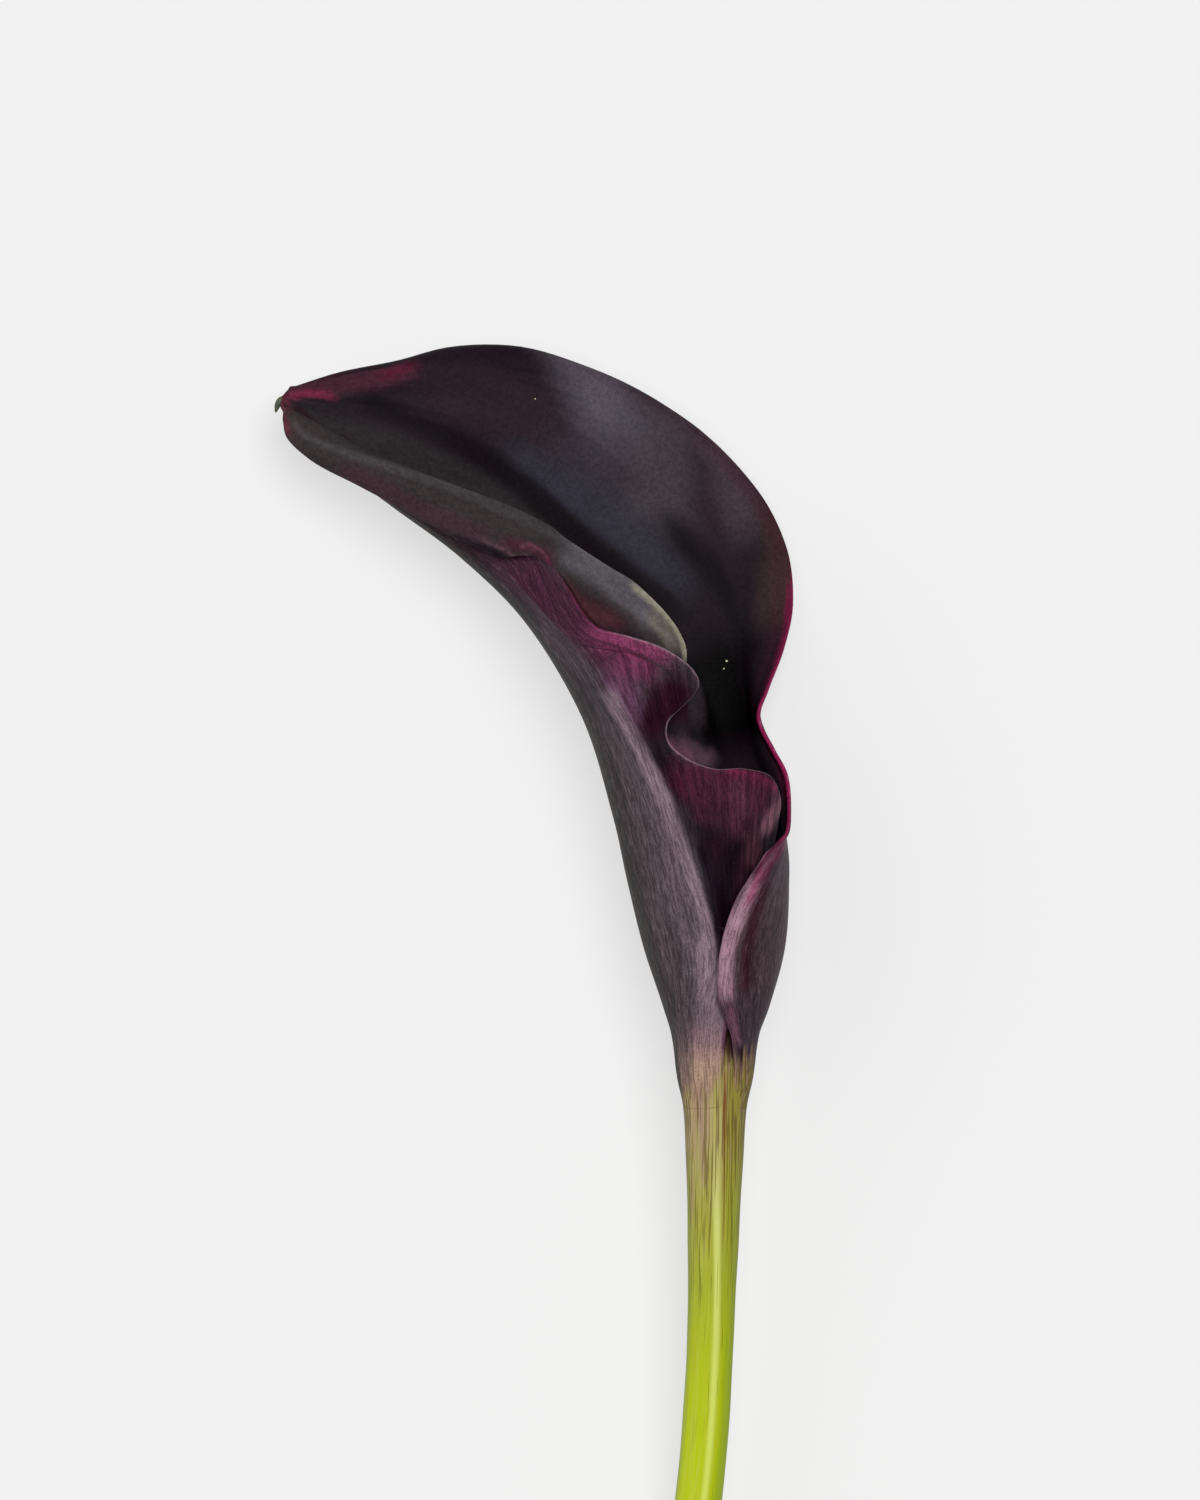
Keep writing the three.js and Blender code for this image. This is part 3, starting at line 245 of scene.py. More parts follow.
# The colours laid on the spathe, in order: each group's face and columns, and its lines as a path seen
# from above, half width, soft side, colour and strength. Besides the spathe's own colours, some lines are
# painted shade, painted highlights and painted sheen, each marked where it stands.
PAINT = (
    # The outside of the funnel and its two lobes.
    (OUTSIDE, FRONT, (
        (((-20, 62), (-15.5, 48), (-11.5, 34), (-7.5, 18), (-5.5, 4), (-5, -10)), 3, 5, "#53474c", 0.92),
        (((-12, 56), (-9.4, 47), (-7.2, 39), (-5, 30), (-3, 22)), 0.8, 4, "#65555d", 0.85),
        (((-3.4, 28), (-2, 22), (-0.9, 15), (-0.8, 6), (-0.8, -10)), 0.6, 3.2, "#826f79", 0.88),
        (((-58, 96), (-46, 90), (-37, 84.4), (-32, 79.4)), 2, 3, "#35242b", 0.9),
        (((-30, 78), (-25, 71), (-20, 62)), 1, 3.6, "#52424a", 0.8),
        # Painted shade: a dark line along the left side, where the sheet turns away from the light.
        (((-34, 79), (-24, 65), (-17.6, 50), (-14.8, 38), (-12.2, 26), (-9.6, 17), (-7, 8)),
         0.4, 2.6, "#1d1b1c", 0.8),
        (((-38, 86.4), (-34, 84), (-28, 80), (-22, 75), (-17, 70), (-11, 67), (-6, 66)),
         1.2, 4.4, "#472536", 0.92),
        (((-18, 68), (-14.5, 62), (-12.4, 55)), 0.4, 3.6, "#5e3a53", 0.85),
        (((-2, 67), (-5, 64.6), (-7.4, 61), (-8.6, 57), (-7.4, 51)), 1.4, 3.6, "#2c121d", 0.95),
        (((-17, 68.6), (-13, 67.2), (-10.6, 66), (-8.6, 64.6)), 0.6, 2, "#6c3452", 0.85),
        (((-22, 73.6), (-17, 71.6), (-12.5, 70.2), (-8, 68.8), (-5.6, 66.8)), 0.5, 2.2, "#843d60", 0.85),
        # Painted shade in the dark valley to the right of the ridge, down towards the foot.
        (((-10, 57), (-7.6, 51.6), (-3.8, 45), (-1, 38.4), (0.2, 32), (1, 26), (1, 21)),
         1, 1.8, "#20151f", 0.94),
        (((-9, 53), (-4, 50), (1, 48.4), (7, 48), (13, 48)), 2.4, 3, "#481f30", 0.92),
        (((-6.6, 48), (-3, 46), (3, 44.6), (7, 44), (12, 45)), 1.8, 3, "#452434", 0.9),
        (((-2, 44), (1, 41), (3.4, 38), (5, 33), (4, 26), (3, 16)), 2.4, 2.8, "#26121a", 0.94),
        # Painted shade in a crease of the front lobe.
        (((-5.6, 46), (-3.9, 40.6), (-2.8, 37)), 0.3, 1, "#3a2d37", 0.8),
        (((6.4, 42), (6, 38), (5, 34)), 0.3, 1.8, "#4a2d37", 0.85),
        (((4, 51), (3.6, 46), (3.2, 41), (3, 37)), 0.2, 1.6, "#5c3446", 0.5),
        (((1, 50.4), (5, 49.8), (8.4, 48.6), (10.6, 46.4)), 0.2, 0.8, "#742a4a", 0.7),
        # Painted highlight on the rolled right end of the tucked lobe.
        (((12, 49), (10.6, 45.4), (8.8, 42), (7.4, 39.4)), 0.3, 1.1, "#7e5563", 0.85),
        # Painted shade in the slit between the tucked lobe and the lapping flap.
        (((4, 42), (2, 33), (1.4, 26), (1.1, 21)), 0.3, 1.9, "#120a10", 0.85),
        # Painted highlight along the crest of the ridge.
        (((-18, 64), (-10.9, 50.9), (-8, 45.6), (-6.5, 41.3), (-5, 37), (-3.2, 32), (-1.6, 26.9),
          (-0.5, 14)), 0.3, 1.3, "#88747f", 0.8),
    )),
    # The lapping flap on its right.
    (OUTSIDE, FLAP, (
        (((9, 38), (8, 24), (6, 8)), 5, 4, "#4d3c42", 0.9),
    )),
    (OUTSIDE, FLAP_EDGE, (
        (((12, 40), (8.4, 36), (6.4, 32.6)), 0.8, 1, "#672340", 0.9),
    )),
    (OUTSIDE, FLAP, (
        # The pale pink roll along the flap's margin: partly its own colour, partly a painted highlight on
        # the rounded edge.
        (((7, 34), (3.6, 27), (2, 22), (1.6, 17), (2, 12.4)), 0.8, 1.3, "#a5808e", 0.88),
        # Painted shade in the shallow hollow beside that roll.
        (((8.8, 34), (6.2, 27.5), (5, 21), (4.8, 14)), 0.4, 1.1, "#40202c", 0.85),
        (((8, 35), (6, 31.4), (4.6, 28)), 0.4, 1, "#944c6a", 0.85),
        (((9.8, 37.6), (8.2, 35.8), (7.2, 33.6)), 0.2, 0.8, "#75505f", 0.7),
    )),
    # The foot.
    (OUTSIDE, FRONT, (
        (((-3, 12), (-1.4, 7), (-1, 2), (-1, -10)), 1.6, 3, "#8f7078", 0.85),
        (((-2, 8), (-1.8, 4), (-1.8, -12)), 1.8, 2.6, "#ac8f78", 0.85),
    )),
    (OUTSIDE, FLAP, (
        # Painted shadow along the left edge of the flap's tip.
        (((3.8, 6.6), (4.2, 5), (4.3, 3)), 0.2, 0.6, "#241418", 0.9),
        (((2.2, 14), (3, 9), (3.6, 5.6)), 0.3, 1, "#6e4a57", 0.8),
    )),
    (OUTSIDE, FRONT, (
        (((2.6, 13), (1.8, 8), (1.4, 4.6)), 0.1, 0.8, "#4e1a36", 0.8),
    )),
    # The inside of the bowl.
    (INSIDE, WALL, (
        (((-72, 107), (-62, 104.4), (-50, 100.4), (-40, 96), (-30, 90.5), (-22, 85)),
         1.8, 3.5, "#322d2f", 0.9),
        (((-54, 112), (-40, 110.5), (-30, 106.6), (-20, 101), (-8, 96), (2, 92), (8, 84)),
         2, 6, "#32262c", 0.85),
        # The next five lines are painted sheen: soft lavender and blue-grey reflections of the light on the
        # bowl's wall.
        (((-30, 108), (-20, 100), (-11, 91), (-7, 84)), 2, 7, "#3d3740", 0.75),
        (((-8, 116), (-8, 104), (-9.4, 95), (-8, 84)), 2, 6, "#494249", 0.75),
        (((-3, 110), (2, 101), (5, 93), (6, 84)), 1, 4.5, "#4c4046", 0.75),
        (((-31, 134), (-19.4, 114), (-16, 106), (-13.4, 97)), 0.8, 7.5, "#5a535e", 0.88),
        (((-38, 104.4), (-31, 99.6), (-21, 93.6), (-12, 87), (-6, 81), (-2, 75)),
         0.5, 5, "#383843", 0.85),
        # Painted shade along the groove at the bottom of the trough and behind the crest.
        (((-60, 111.4), (-50, 107.2), (-42.9, 104.3), (-36, 100), (-30, 95.5), (-25, 90.5), (-20, 86.4),
          (-14, 81.5), (-8, 77), (-4, 72)), 0.4, 2.6, "#150e12", 0.88),
        (((-9, 93), (-2, 84), (2, 78), (4.5, 72.8), (5.8, 66)), 0.6, 2.6, "#151217", 0.75),
        (((9, 97), (11, 86), (10.5, 77), (8.5, 70)), 1, 3.6, "#40302f", 0.85),
        # Painted shade: near black down the throat, where little light reaches.
        (((-4, 74), (0, 68), (1.5, 60), (3, 50)), 2.5, 5, "#060406", 0.95),
        (((-76, 109), (-68, 111.2), (-62, 112), (-54, 113), (-46, 115.6)), 0.3, 2.2, "#4c2a36", 0.85),
        (((-55, 113.4), (-51.5, 114.2), (-50, 115), (-47, 116.2)), 0.1, 1.2, "#5e1c34", 0.6),
        (((-70, 109.8), (-66, 110.7), (-62.6, 110.6), (-60, 109.6)), 0.2, 1, "#7a2844", 0.7),
        # Painted shade in the crease at the rolled left end.
        (((-68.6, 109.6), (-66.2, 107.8), (-64.6, 105.4), (-62, 103.8), (-57, 102.2)),
         0.2, 1.2, "#2c1a20", 0.8),
        (((12.6, 82), (11.9, 73), (9.9, 66.4), (8, 61.4), (8.2, 56.6), (11, 51), (12.4, 44)),
         0.1, 1, "#8a1c48", 0.85),
    )),
    # The folds in front of it.
    (INSIDE, FOLDS, (
        (((-74, 106), (-64, 103), (-56, 98.4), (-46, 94), (-36, 90.5), (-26, 85.5), (-16, 80.5),
          (-8, 73.5), (-3, 66)), 3, 2.5, "#3c3637", 0.95),
        (((-62, 99.6), (-54, 95.6), (-46, 91.4), (-38, 88), (-34, 87)), 0.5, 1.9, "#46323a", 0.85),
        # Painted highlight: a thin light line along the crest of the fold.
        (((-68.2, 107), (-66.1, 104.2), (-63.3, 102.7), (-55.6, 100), (-48, 97.6), (-40, 94.6),
          (-31, 90.6), (-20, 84.8)), 0.1, 0.9, "#534e50", 0.5),
        # The strip's lighter grey is painted light, where its bulge catches the light.
        (((-26, 86.6), (-17, 81.4), (-11, 76.4), (-8, 72)), 1.2, 2.4, "#645f66", 0.85),
        # The hollow under the strip: its own dark red margin colour, with painted shade in the dent.
        (((-26.4, 82), (-22.6, 77.4), (-17, 74.6), (-12.4, 72.6)), 0.5, 2.4, "#4e2b34", 0.92),
        # The next two lines are painted highlights along the crest's edge.
        (((-11.6, 76.8), (-9.2, 74), (-7.4, 71.4), (-6, 68)), 0.3, 1.8, "#746e66", 0.85),
        (((-14, 80.3), (-10.6, 77.8), (-7.9, 75.3), (-5.8, 72.7), (-4.9, 70.2), (-4.5, 67)),
         0.05, 0.8, "#aaa48e", 0.8),
        (((-36, 86.8), (-30.6, 86), (-27, 84.6), (-25.6, 81)), 0.3, 1.8, "#4a2634", 0.85),
        (((-27.6, 83.9), (-26.2, 82.9)), 0.1, 0.7, "#6a1240", 0.8),
        # The next two lines are painted highlights on the crumple's small folds; the third is painted shade
        # in one of its creases.
        (((-38, 87.8), (-34.6, 86), (-32, 84.4), (-30, 84.8), (-28.6, 86)), 0, 0.55, "#75555f", 0.7),
        (((-31.6, 85.6), (-29.6, 86.6), (-27.4, 85.2), (-26.4, 83.4)), 0, 0.5, "#6d4452", 0.7),
        (((-36, 85.6), (-33, 83.7), (-30.6, 83.5), (-28, 84.6)), 0.1, 0.7, "#1e1014", 0.75),
    )),
    (INSIDE, ALL, (
        # Painted highlight on the inner fold near the notch.
        (((-7, 56), (-4.6, 53.4), (-1.8, 52.4), (1.4, 51.2)), 0.5, 1.8, "#5e444f", 0.85),
    )),
    (INSIDE, FOLDS, (
        (((-3.6, 64), (-5, 61), (-7, 57.4)), 0.8, 1.6, "#2a111b", 0.9),
    )),
    (INSIDE, ALL, (
        # Painted highlight: a greyish light spot on the inner fold.
        (((-3.6, 66), (-2.8, 61), (-2.4, 56)), 0.3, 1.7, "#3c3137", 0.75),
    )),
    (INSIDE, FOLDS, (
        (((-8.4, 56.4), (-6.6, 53.6), (-3, 52), (1.6, 50.4)), 0.2, 0.9, "#6b4653", 0.75),
    )),
)

# What the painted colours are lowered by, because the gloss adds as much, and their least.
GLOSS, DARKEST = 0.003, 0.00075

# The bands along the free margins: face, columns, heights, width, colour, strength.
MARGINS = (
    (INSIDE, (0.5, 1), (0.45, 0.9), 5, "#432330", 0.5),
    # Painted highlight: the pale line where the free edge's thickness catches the light.
    (BOTH, (0, 0.1), (0.4, 0.62), 0.3, "#a98795", 0.6),
    (BOTH, (0, 0.1), (0.64, 0.75), 0.3, "#6a2446", 0.5),
    (BOTH, (0, 0.1), (0.77, 1.1), 0.3, "#5e5056", 0.5),
    # Painted highlight: the pale line where the flap's free edge catches the light.
    (BOTH, (0.9, 1), (0.02, 0.36), 0.35, "#8d6478", 0.7),
    (BOTH, (0.9, 1), (0.4, 0.72), 0.6, "#a3245a", 0.75),
    (BOTH, (0.9, 1), (0.72, 0.92), 0.3, "#4c2a36", 0.8),
    (BOTH, (0.9, 1), (0.92, 1.1), 0.4, "#6a2440", 0.6),
    (BOTH, (0, 0.5), (0.985, 1.1), 2.4, "#63313f", 0.75),
)

# The waves that make the colours' sides uneven. Chance draws each between LEAST and MOST, as its pace
# across and along the sheet, its start and its turn.
STREAK_SEED = 11
STREAK_FINENESS = (1, 1.7, 2.6, 4, 6)
STREAK_LEAST = (14, 4, 0, 0)
STREAK_MOST = (30, 10, 6, 6)
STREAK_SWAY, STREAK_FULL = 1.5, 2.4

# How far a wave may move a side: at most, and as a share of its softness or of a margin's width.
RIPPLE_REACH, RIPPLE_SHARE, MARGIN_RIPPLE = 0.9, 0.35, 0.3
# How long a line's ends fade, as a multiple of its softness and as a share of its length, and how soft
# the sides of a range of columns are.
END_FADE, LONGEST_FADE, WINDOW_SOFT = 2.2, 1 / 3, 0.02

# The veins spread with the sheet, which counts as this wide for them. On the front lobes they run
# as rays from a point low on the axis instead.
FAN_WIDTH = 55
RAYS_FROM, RAYS_SPREAD, RAYS_LEAST_HEIGHT = (3.5, 5), 40, 8
LOBES_END_ACROSS, LOBES_ALONG = (0.13, 0.2), (0.25, 0.62)

# Crumpled places: the middle, the reach, the depth and the way of the folds. Then the folds' pace, and
# how far and how fast they sway.
CRUMPLES = (((-31, 85.5), (4.5, 2.5), 0.34, -0.5), ((-26, 81), (2.5, 3.5), 0.16, -1.1),
            ((-14, 68.5), (7, 3.2), 0.1, -0.4), ((-40, 88.5), (5, 2), 0.12, -0.55))
FOLD_PACE, FOLD_SWAY, FOLD_SWAY_PACE = 2.6, 1.3, 0.9

# Grains of pollen on the wall inside: x, y and radius.
POLLEN = ((1.97, 67.9, 0.2), (1.54, 66.7, 0.15), (-28.8, 110.1, 0.12))
# Where the wall is searched for their places, as start, end and steps, and how many points count.
POLLEN_COLUMNS, POLLEN_HEIGHTS, POLLEN_NEIGHBOURS = (0.3, 1, 90), (0.45, 1, 260), 6

# The stem's colours by height, as shares of COLOURS_HEIGHT above COLOURS_FROM.
COLOURS_FROM, COLOURS_HEIGHT = -60, 70
STEM_GREENS = ((0, "#bccb12"), (0.2, "#b6c41a"), (0.42, "#aab032"), (0.58, "#aca94a"),
               (0.72, "#b4aa62"), (0.84, "#b6ac66"), (1, "#9c8c50"))
STEM_DEEPS = ((0.1, "#a4bb04"), (0.3, "#a6b90c"), (0.45, "#a4ac26"), (0.6, "#a2a632"),
              (0.72, "#a09a34"), (0.85, "#948a36"), (1, "#80703a"))
# The painted highlight along the stem's top, by height.
STEM_HIGHLIGHTS = ((0, "#e0ec6c"), (0.5, "#dce27c"), (0.7, "#dcd894"))
STEM_MAUVES = ((0.3, "#a89c58"), (0.6, "#b0947a"), (0.8, "#b3927a"), (1, "#92746c"))
# Painted shade down the stem's sides, by height.
STEM_SHADED_SIDES = ((0.1, "#88a000"), (0.5, "#7c8a10"), (0.72, "#6c6818"), (0.85, "#60502a"), (1, "#52403a"))
STEM_DARKS = ((0.3, "#7c8014"), (0.6, "#6a5c24"), (0.9, "#5e4030"))
# How much of the mauve and of the dark lines there is, by the same heights.
MAUVE_AMOUNTS = ((0.3, 0), (0.5, 0.08), (0.68, 0.17), (0.8, 0.24), (0.88, 0.3), (0.95, 0.42), (1, 0.6))
DARK_AMOUNTS = ((0, 0), (0.3, 0.07), (0.5, 0.13), (0.7, 0.17), (1, 0.18))
# How wide the fibres' noise is round the stem, and how far apart it is read for the sheet's two faces.
ROUND_REACH, SIDES_APART = 5, 20

# The floor's half width in metres, and the light from all round.
FLOOR_HALF_SIZE, WORLD_LIGHT = 1.5, 0.15

# The picture's middle, the height that it shows (0.16 to each of its 1500 rows), the lens and the
# sensor's longer side.
PICTURE_MIDDLE, PICTURE_HEIGHT = (-18.4, 53.6, 0), 240
FOCAL_LENGTH, SENSOR_HEIGHT = 400, 36


# Curves.

def ease(start, end, x):
    """Smooth step from 0 at start to 1 at end."""
    s = np.clip((np.asarray(x, float) - start) / (end - start), 0, 1)
    return s * s * (3 - 2 * s)


def mix(a, b, share):
    return a + (b - a) * share


def curve_through(knots, points, at):
    """A smooth curve through points at uneven knots, read at each value of at."""
    knots, points, at = np.asarray(knots, float), np.asarray(points, float), np.atleast_1d(at)
    wide = (-1,) + (1,) * (points.ndim - 1)
    spans = np.diff(knots).reshape(wide)
    slopes = np.diff(points, axis=0) / spans
    inner = (slopes[:-1] * spans[1:] + slopes[1:] * spans[:-1]) / (spans[:-1] + spans[1:])
    tangents = np.concatenate((slopes[:1], inner, slopes[-1:]))
    k = np.clip(np.searchsorted(knots, at) - 1, 0, len(knots) - 2)
    span = spans[k]
    s = (at - knots[k]).reshape(wide) / span
    return ((2 * s ** 3 - 3 * s ** 2 + 1) * points[k] + (s ** 3 - 2 * s ** 2 + s) * span * tangents[k]
            + (3 * s ** 2 - 2 * s ** 3) * points[k + 1] + (s ** 3 - s ** 2) * span * tangents[k + 1])


def along_table(rows, at):
    rows = np.array(rows, float)
    return curve_through(rows[:, 0], rows[:, 1:], at)


def across_guides(guides, v):
    """The guides' places, and each one's points at the heights v."""
    places = [place for place, _ in guides]
    tables = [np.array(points) / (100, 1, 1, 1) for _, points in guides]
    return places, np.stack([along_table(table, v) for table in tables])


# The spathe's two faces, as arrays of columns by rows by xyz.

def outer_face(u, v):
    places, curves = across_guides(OUTER_GUIDES, v)
    return curve_through(places, curves, u)


def outward(u, v):
    step = SLOPE_STEP
    across = outer_face(np.minimum(u + step, 1), v) - outer_face(np.maximum(u - step, 0), v)
    along = outer_face(u, np.minimum(v + step, 1)) - outer_face(u, np.maximum(v - step, 0))
    normal = np.cross(along, across)
    return normal / np.linalg.norm(normal, axis=2, keepdims=True)


def wall_thickness(u, v):
    wall = mix(MARGIN_THICK, WALL_THICK, ease(0, MARGIN_TAPER, np.minimum(u, 1 - u)))
    return mix(wall[:, None], TIP_THICK, ease(TIP_TAPER_FROM, 1, v)[None, :])


def plain_inner_face(u, v):
    return outer_face(u, v) - outward(u, v) * wall_thickness(u, v)[:, :, None]


def inner_face(u, v):
    plain = plain_inner_face(u, v)
    places, curves = across_guides(INNER_GUIDES, v)
    hinge = plain_inner_face(np.array((INNER_GUIDES_END,)), v)
    folded = curve_through(places + [INNER_GUIDES_END], np.concatenate((curves, hinge)), u)
    share = (u <= INNER_GUIDES_END)[:, None] * ease(INNER_GUIDES_FROM, INNER_GUIDES_FULL, v)[None, :]
    return mix(plain, folded, share[:, :, None])


def crowded(cells, crowd):
    """Cell edges from 0 to 1 that stand closer together at both ends."""
    even = np.linspace(0, 1, cells + 1 - 2 * len(crowd))
    return np.concatenate(((0,), crowd, even[1:-1], 1 - np.array(crowd[::-1]), (1,)))


def rim_distance(face):
    """How far each point is from the free margins and the tip."""
    sides = [face[:1], face[-1:], face[:, -1:]]
    return np.min([np.linalg.norm(face - side, axis=2) for side in sides], axis=0)


def crumpled(face):
    """Raises the small folds."""
    x, y = face[..., 0], face[..., 1]
    for (middle_x, middle_y), (wide, high), depth, way in CRUMPLES:
        near = np.exp(-(((x - middle_x) / wide) ** 2 + ((y - middle_y) / high) ** 2))
        along = x * math.cos(way) + y * math.sin(way)
        across = y * math.cos(way) - x * math.sin(way)
        sway = FOLD_SWAY * np.sin(FOLD_SWAY_PACE * along)
        face[..., 2] += depth * near * np.sin(FOLD_PACE * across + sway)
    return face


def seated(face, v, depth):
    """Draws the sheet's foot down the stem and into its skin."""
    low = 1 - ease(0, FOOT_FREE_FROM, v)
    face[..., 1] -= FOOT_OVERLAP * low
    across, up = face[..., 0], face[..., 2]
    reach = np.hypot(across, up)
    level = np.minimum(face[..., 1].ravel(), SHOULDER_Y)
    wanted = along_table(STEM_RADII, level)[:, 0].reshape(reach.shape) - depth
    scale = mix(1, wanted / reach, low)
    face[..., 0], face[..., 2] = across * scale, up * scale
    return face


def rounded(outer, inner):
    """Draws the two faces together round the rim, to a half round edge."""
    middle = (outer + inner) / 2
    half = np.linalg.norm(outer - inner, axis=2) / 2
    inside = np.clip(rim_distance(middle) / np.maximum(half, LEAST_HALF_WALL), 0, 1)
    fullness = np.sqrt(1 - (1 - inside) ** 2)[:, :, None]
    fullness[:, 0] = 0
    return mix(middle, outer, fullness), mix(middle, inner, fullness)


# Meshes.

def to_frame(points):
    return (np.asarray(points) + AXIS_PLACE) * MM


def spread(columns, rows):
    return np.meshgrid(columns, rows, indexing="ij")


def bent_grid(bm, points, marks, uv_places, inward=False):
    """Adds a grid whose vertex (i, j) stands at points[i, j], with named numbers kept per vertex."""
    columns, rows = points.shape[0] - 1, points.shape[1] - 1
    places = to_frame(points)
    uv = bm.loops.layers.uv.verify()
    layers = {}
    for name, numbers in marks.items():
        kind = bm.verts.layers.float_color if numbers.ndim == 3 else bm.verts.layers.float
        layers[name] = kind.get(name) or kind.new(name)
    made = bmesh.ops.create_grid(bm, x_segments=columns, y_segments=rows, size=0.5)
    share = {vert: (round((vert.co.x + 0.5) * columns), round((vert.co.y + 0.5) * rows))
             for vert in made["verts"]}
    faces = {face for vert in made["verts"] for face in vert.link_faces}
    for vert, (i, j) in share.items():
        vert.co = places[i, j]
        for name, layer in layers.items():
            number = marks[name][i, j]
            vert[layer] = number if number.ndim == 0 else (*number, 1)
    for face in faces:
        face.smooth = True
        for loop in face.loops:
            i, j = share[loop.vert]
            loop[uv].uv = (uv_places[0][i, j], uv_places[1][i, j])
    if not inward:
        bmesh.ops.reverse_faces(bm, faces=list(faces))


def added(name, data):
    made = bpy.data.objects.new(name, data)
    bpy.context.collection.objects.link(made)
    return made


def mesh_object(bm, name, material):
    mesh = bpy.data.meshes.new(name)
    bm.to_mesh(mesh)
    bm.free()
    mesh.materials.append(material)
    return added(name, mesh)


def finished(bm, name, material, slot, *nodes, merge):
    """A piece that stands for the named CAD nodes. Points within merge millimetres become one."""
    bmesh.ops.remove_doubles(bm, verts=bm.verts, dist=merge * MM)
    piece = mesh_object(bm, name, material)
    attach(piece, "root")
    if nodes:
        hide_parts(*nodes)


# Shaders.

class Socket:
    """A node's output. Sums, differences and products of these add Math nodes."""

    def __init__(self, shader, output):
        self.shader, self.output = shader, output

    def maths(self, operation, *values):
        inputs = dict(enumerate((self, *values)))
        return self.shader.node("Math", {"operation": operation}, inputs)

    def __add__(self, other):
        return self.maths("ADD", other)

    def __sub__(self, other):
        return self.maths("SUBTRACT", other)

    def __rsub__(self, other):
        return self.maths("MULTIPLY", -1.0).maths("ADD", other)

    def __mul__(self, other):
        return self.maths("MULTIPLY", other)

    __radd__ = __add__
    __rmul__ = __mul__

    def __truediv__(self, other):
        return self.maths("DIVIDE", other)


class Shader:
    """One material's nodes."""

    def __init__(self, name):
        self.material = bpy.data.materials.new(name)
        self.material.use_nodes = True
        self.nodes = self.material.node_tree.nodes
        self.nodes.clear()

    def node(self, kind, settings=None, values=None, output=0):
        """A new node with its settings and inputs, read at one output, or at none."""
        made = self.nodes.new("ShaderNode" + kind)
        for name, setting in (settings or {}).items():
            if name == "stops":
                set_stops(made.color_ramp, setting)
            else:
                setattr(made, name, setting)
        for name, value in (values or {}).items():
            if isinstance(value, Socket):
                self.material.node_tree.links.new(value.output, made.inputs[name])
            else:
                made.inputs[name].default_value = value
        return None if output is None else Socket(self, made.outputs[output])

    def mark(self, name, output="Fac"):
        """A number, or a colour, that the mesh keeps at each vertex."""
        return self.node("Attribute", {"attribute_name": name}, output=output)

    def blend(self, share, first, second):
        """One colour turning into another."""
        return self.node("Mix", {"data_type": "RGBA"}, {0: share, 6: first, 7: second}, 2)

    def glide(self, value, start, end):
        """A smooth step of a number, from 0 at start to 1 at end."""
        return self.node("MapRange", {"interpolation_type": "SMOOTHSTEP"}, {0: value, 1: start, 2: end})

    def noise(self, vector, scale, rough=0.5, stretch=(1, 1, 1), sway=0):
        placed = self.node("Mapping", None, {"Vector": vector, "Scale": stretch})
        values = {"Vector": placed, "Scale": scale, "Roughness": rough, "Distortion": sway}
        return self.node("TexNoise", None, values)

    def bump(self, height, strength, distance):
        values = {"Strength": strength, "Distance": distance, "Height": height}
        return self.node("Bump", None, values, "Normal")

    def place(self, name):
        return self.node("TexCoord", output=name)

    def finish(self, **values):
        """Closes the material with a Principled surface."""
        named = {name.replace("_", " "): value for name, value in values.items()}
        surface = self.node("BsdfPrincipled", None, named)
        self.node("OutputMaterial", None, {"Surface": surface}, None)
        return self.material


def set_stops(ramp, stops):
    while len(ramp.elements) < len(stops):
        ramp.elements.new(1.0)
    for element, (place, shade) in zip(ramp.elements, stops):
        element.position, element.color = place, shade


def shade(code):
    """The light that a screen colour's hexadecimal code stands for."""
    parts = [int(code[i:i + 2], 16) / 255 for i in (1, 3, 5)]
    return (*[p / 12.92 if p <= 0.04045 else ((p + 0.055) / 1.055) ** 2.4 for p in parts], 1)


def light(code):
    return np.array(shade(code)[:3])


# Marks on the spathe.

def streaky(u, v):
    """Uneven ripples from about -1 to 1, long along the sheet and narrow across it."""
    chance = np.random.default_rng(STREAK_SEED)
    total = np.zeros((len(u), len(v)))
    for fineness in STREAK_FINENESS:
        across, along, start, turn = chance.uniform(STREAK_LEAST, STREAK_MOST)
        sway = STREAK_SWAY * np.sin(along * fineness * v + turn)
        wave = np.sin(across * fineness * u[:, None] + start + sway[None, :])
        total += wave / math.sqrt(fineness)
    return total / STREAK_FULL


def near_line(points, path, width, soft, ripples):
    """1 on a line seen from above, 0 away from it, with a soft rippled side and fading ends."""
    flat = points[..., :2]
    nearest, from_end = np.full(flat.shape[:2], np.inf), np.zeros(flat.shape[:2])
    corners = np.array(path, float)
    steps = np.diff(corners, axis=0)
    lengths = np.linalg.norm(steps, axis=1)
    whole = lengths.sum()
    for corner, step, length, before in zip(corners, steps, lengths, np.cumsum(lengths) - lengths):
        part = np.clip(((flat - corner) @ step) / length ** 2, 0, 1)
        gap = np.linalg.norm(flat - corner - part[..., None] * step, axis=-1)
        ends = np.minimum(before + part * length, whole - before - part * length)
        from_end = np.where(gap < nearest, ends, from_end)
        nearest = np.minimum(nearest, gap)
    rippled = nearest + ripples * min(soft * RIPPLE_SHARE, RIPPLE_REACH)
    fade = min(END_FADE * soft, whole * LONGEST_FADE)
    return (1 - ease(width, width + soft, rippled)) * ease(0, fade, from_end)


def window(u, columns):
    """1 between two columns of the sheet and 0 outside them."""
    start, end = columns
    return (1 - ease(start, start - WINDOW_SOFT, u)) * (1 - ease(end, end + WINDOW_SOFT, u))


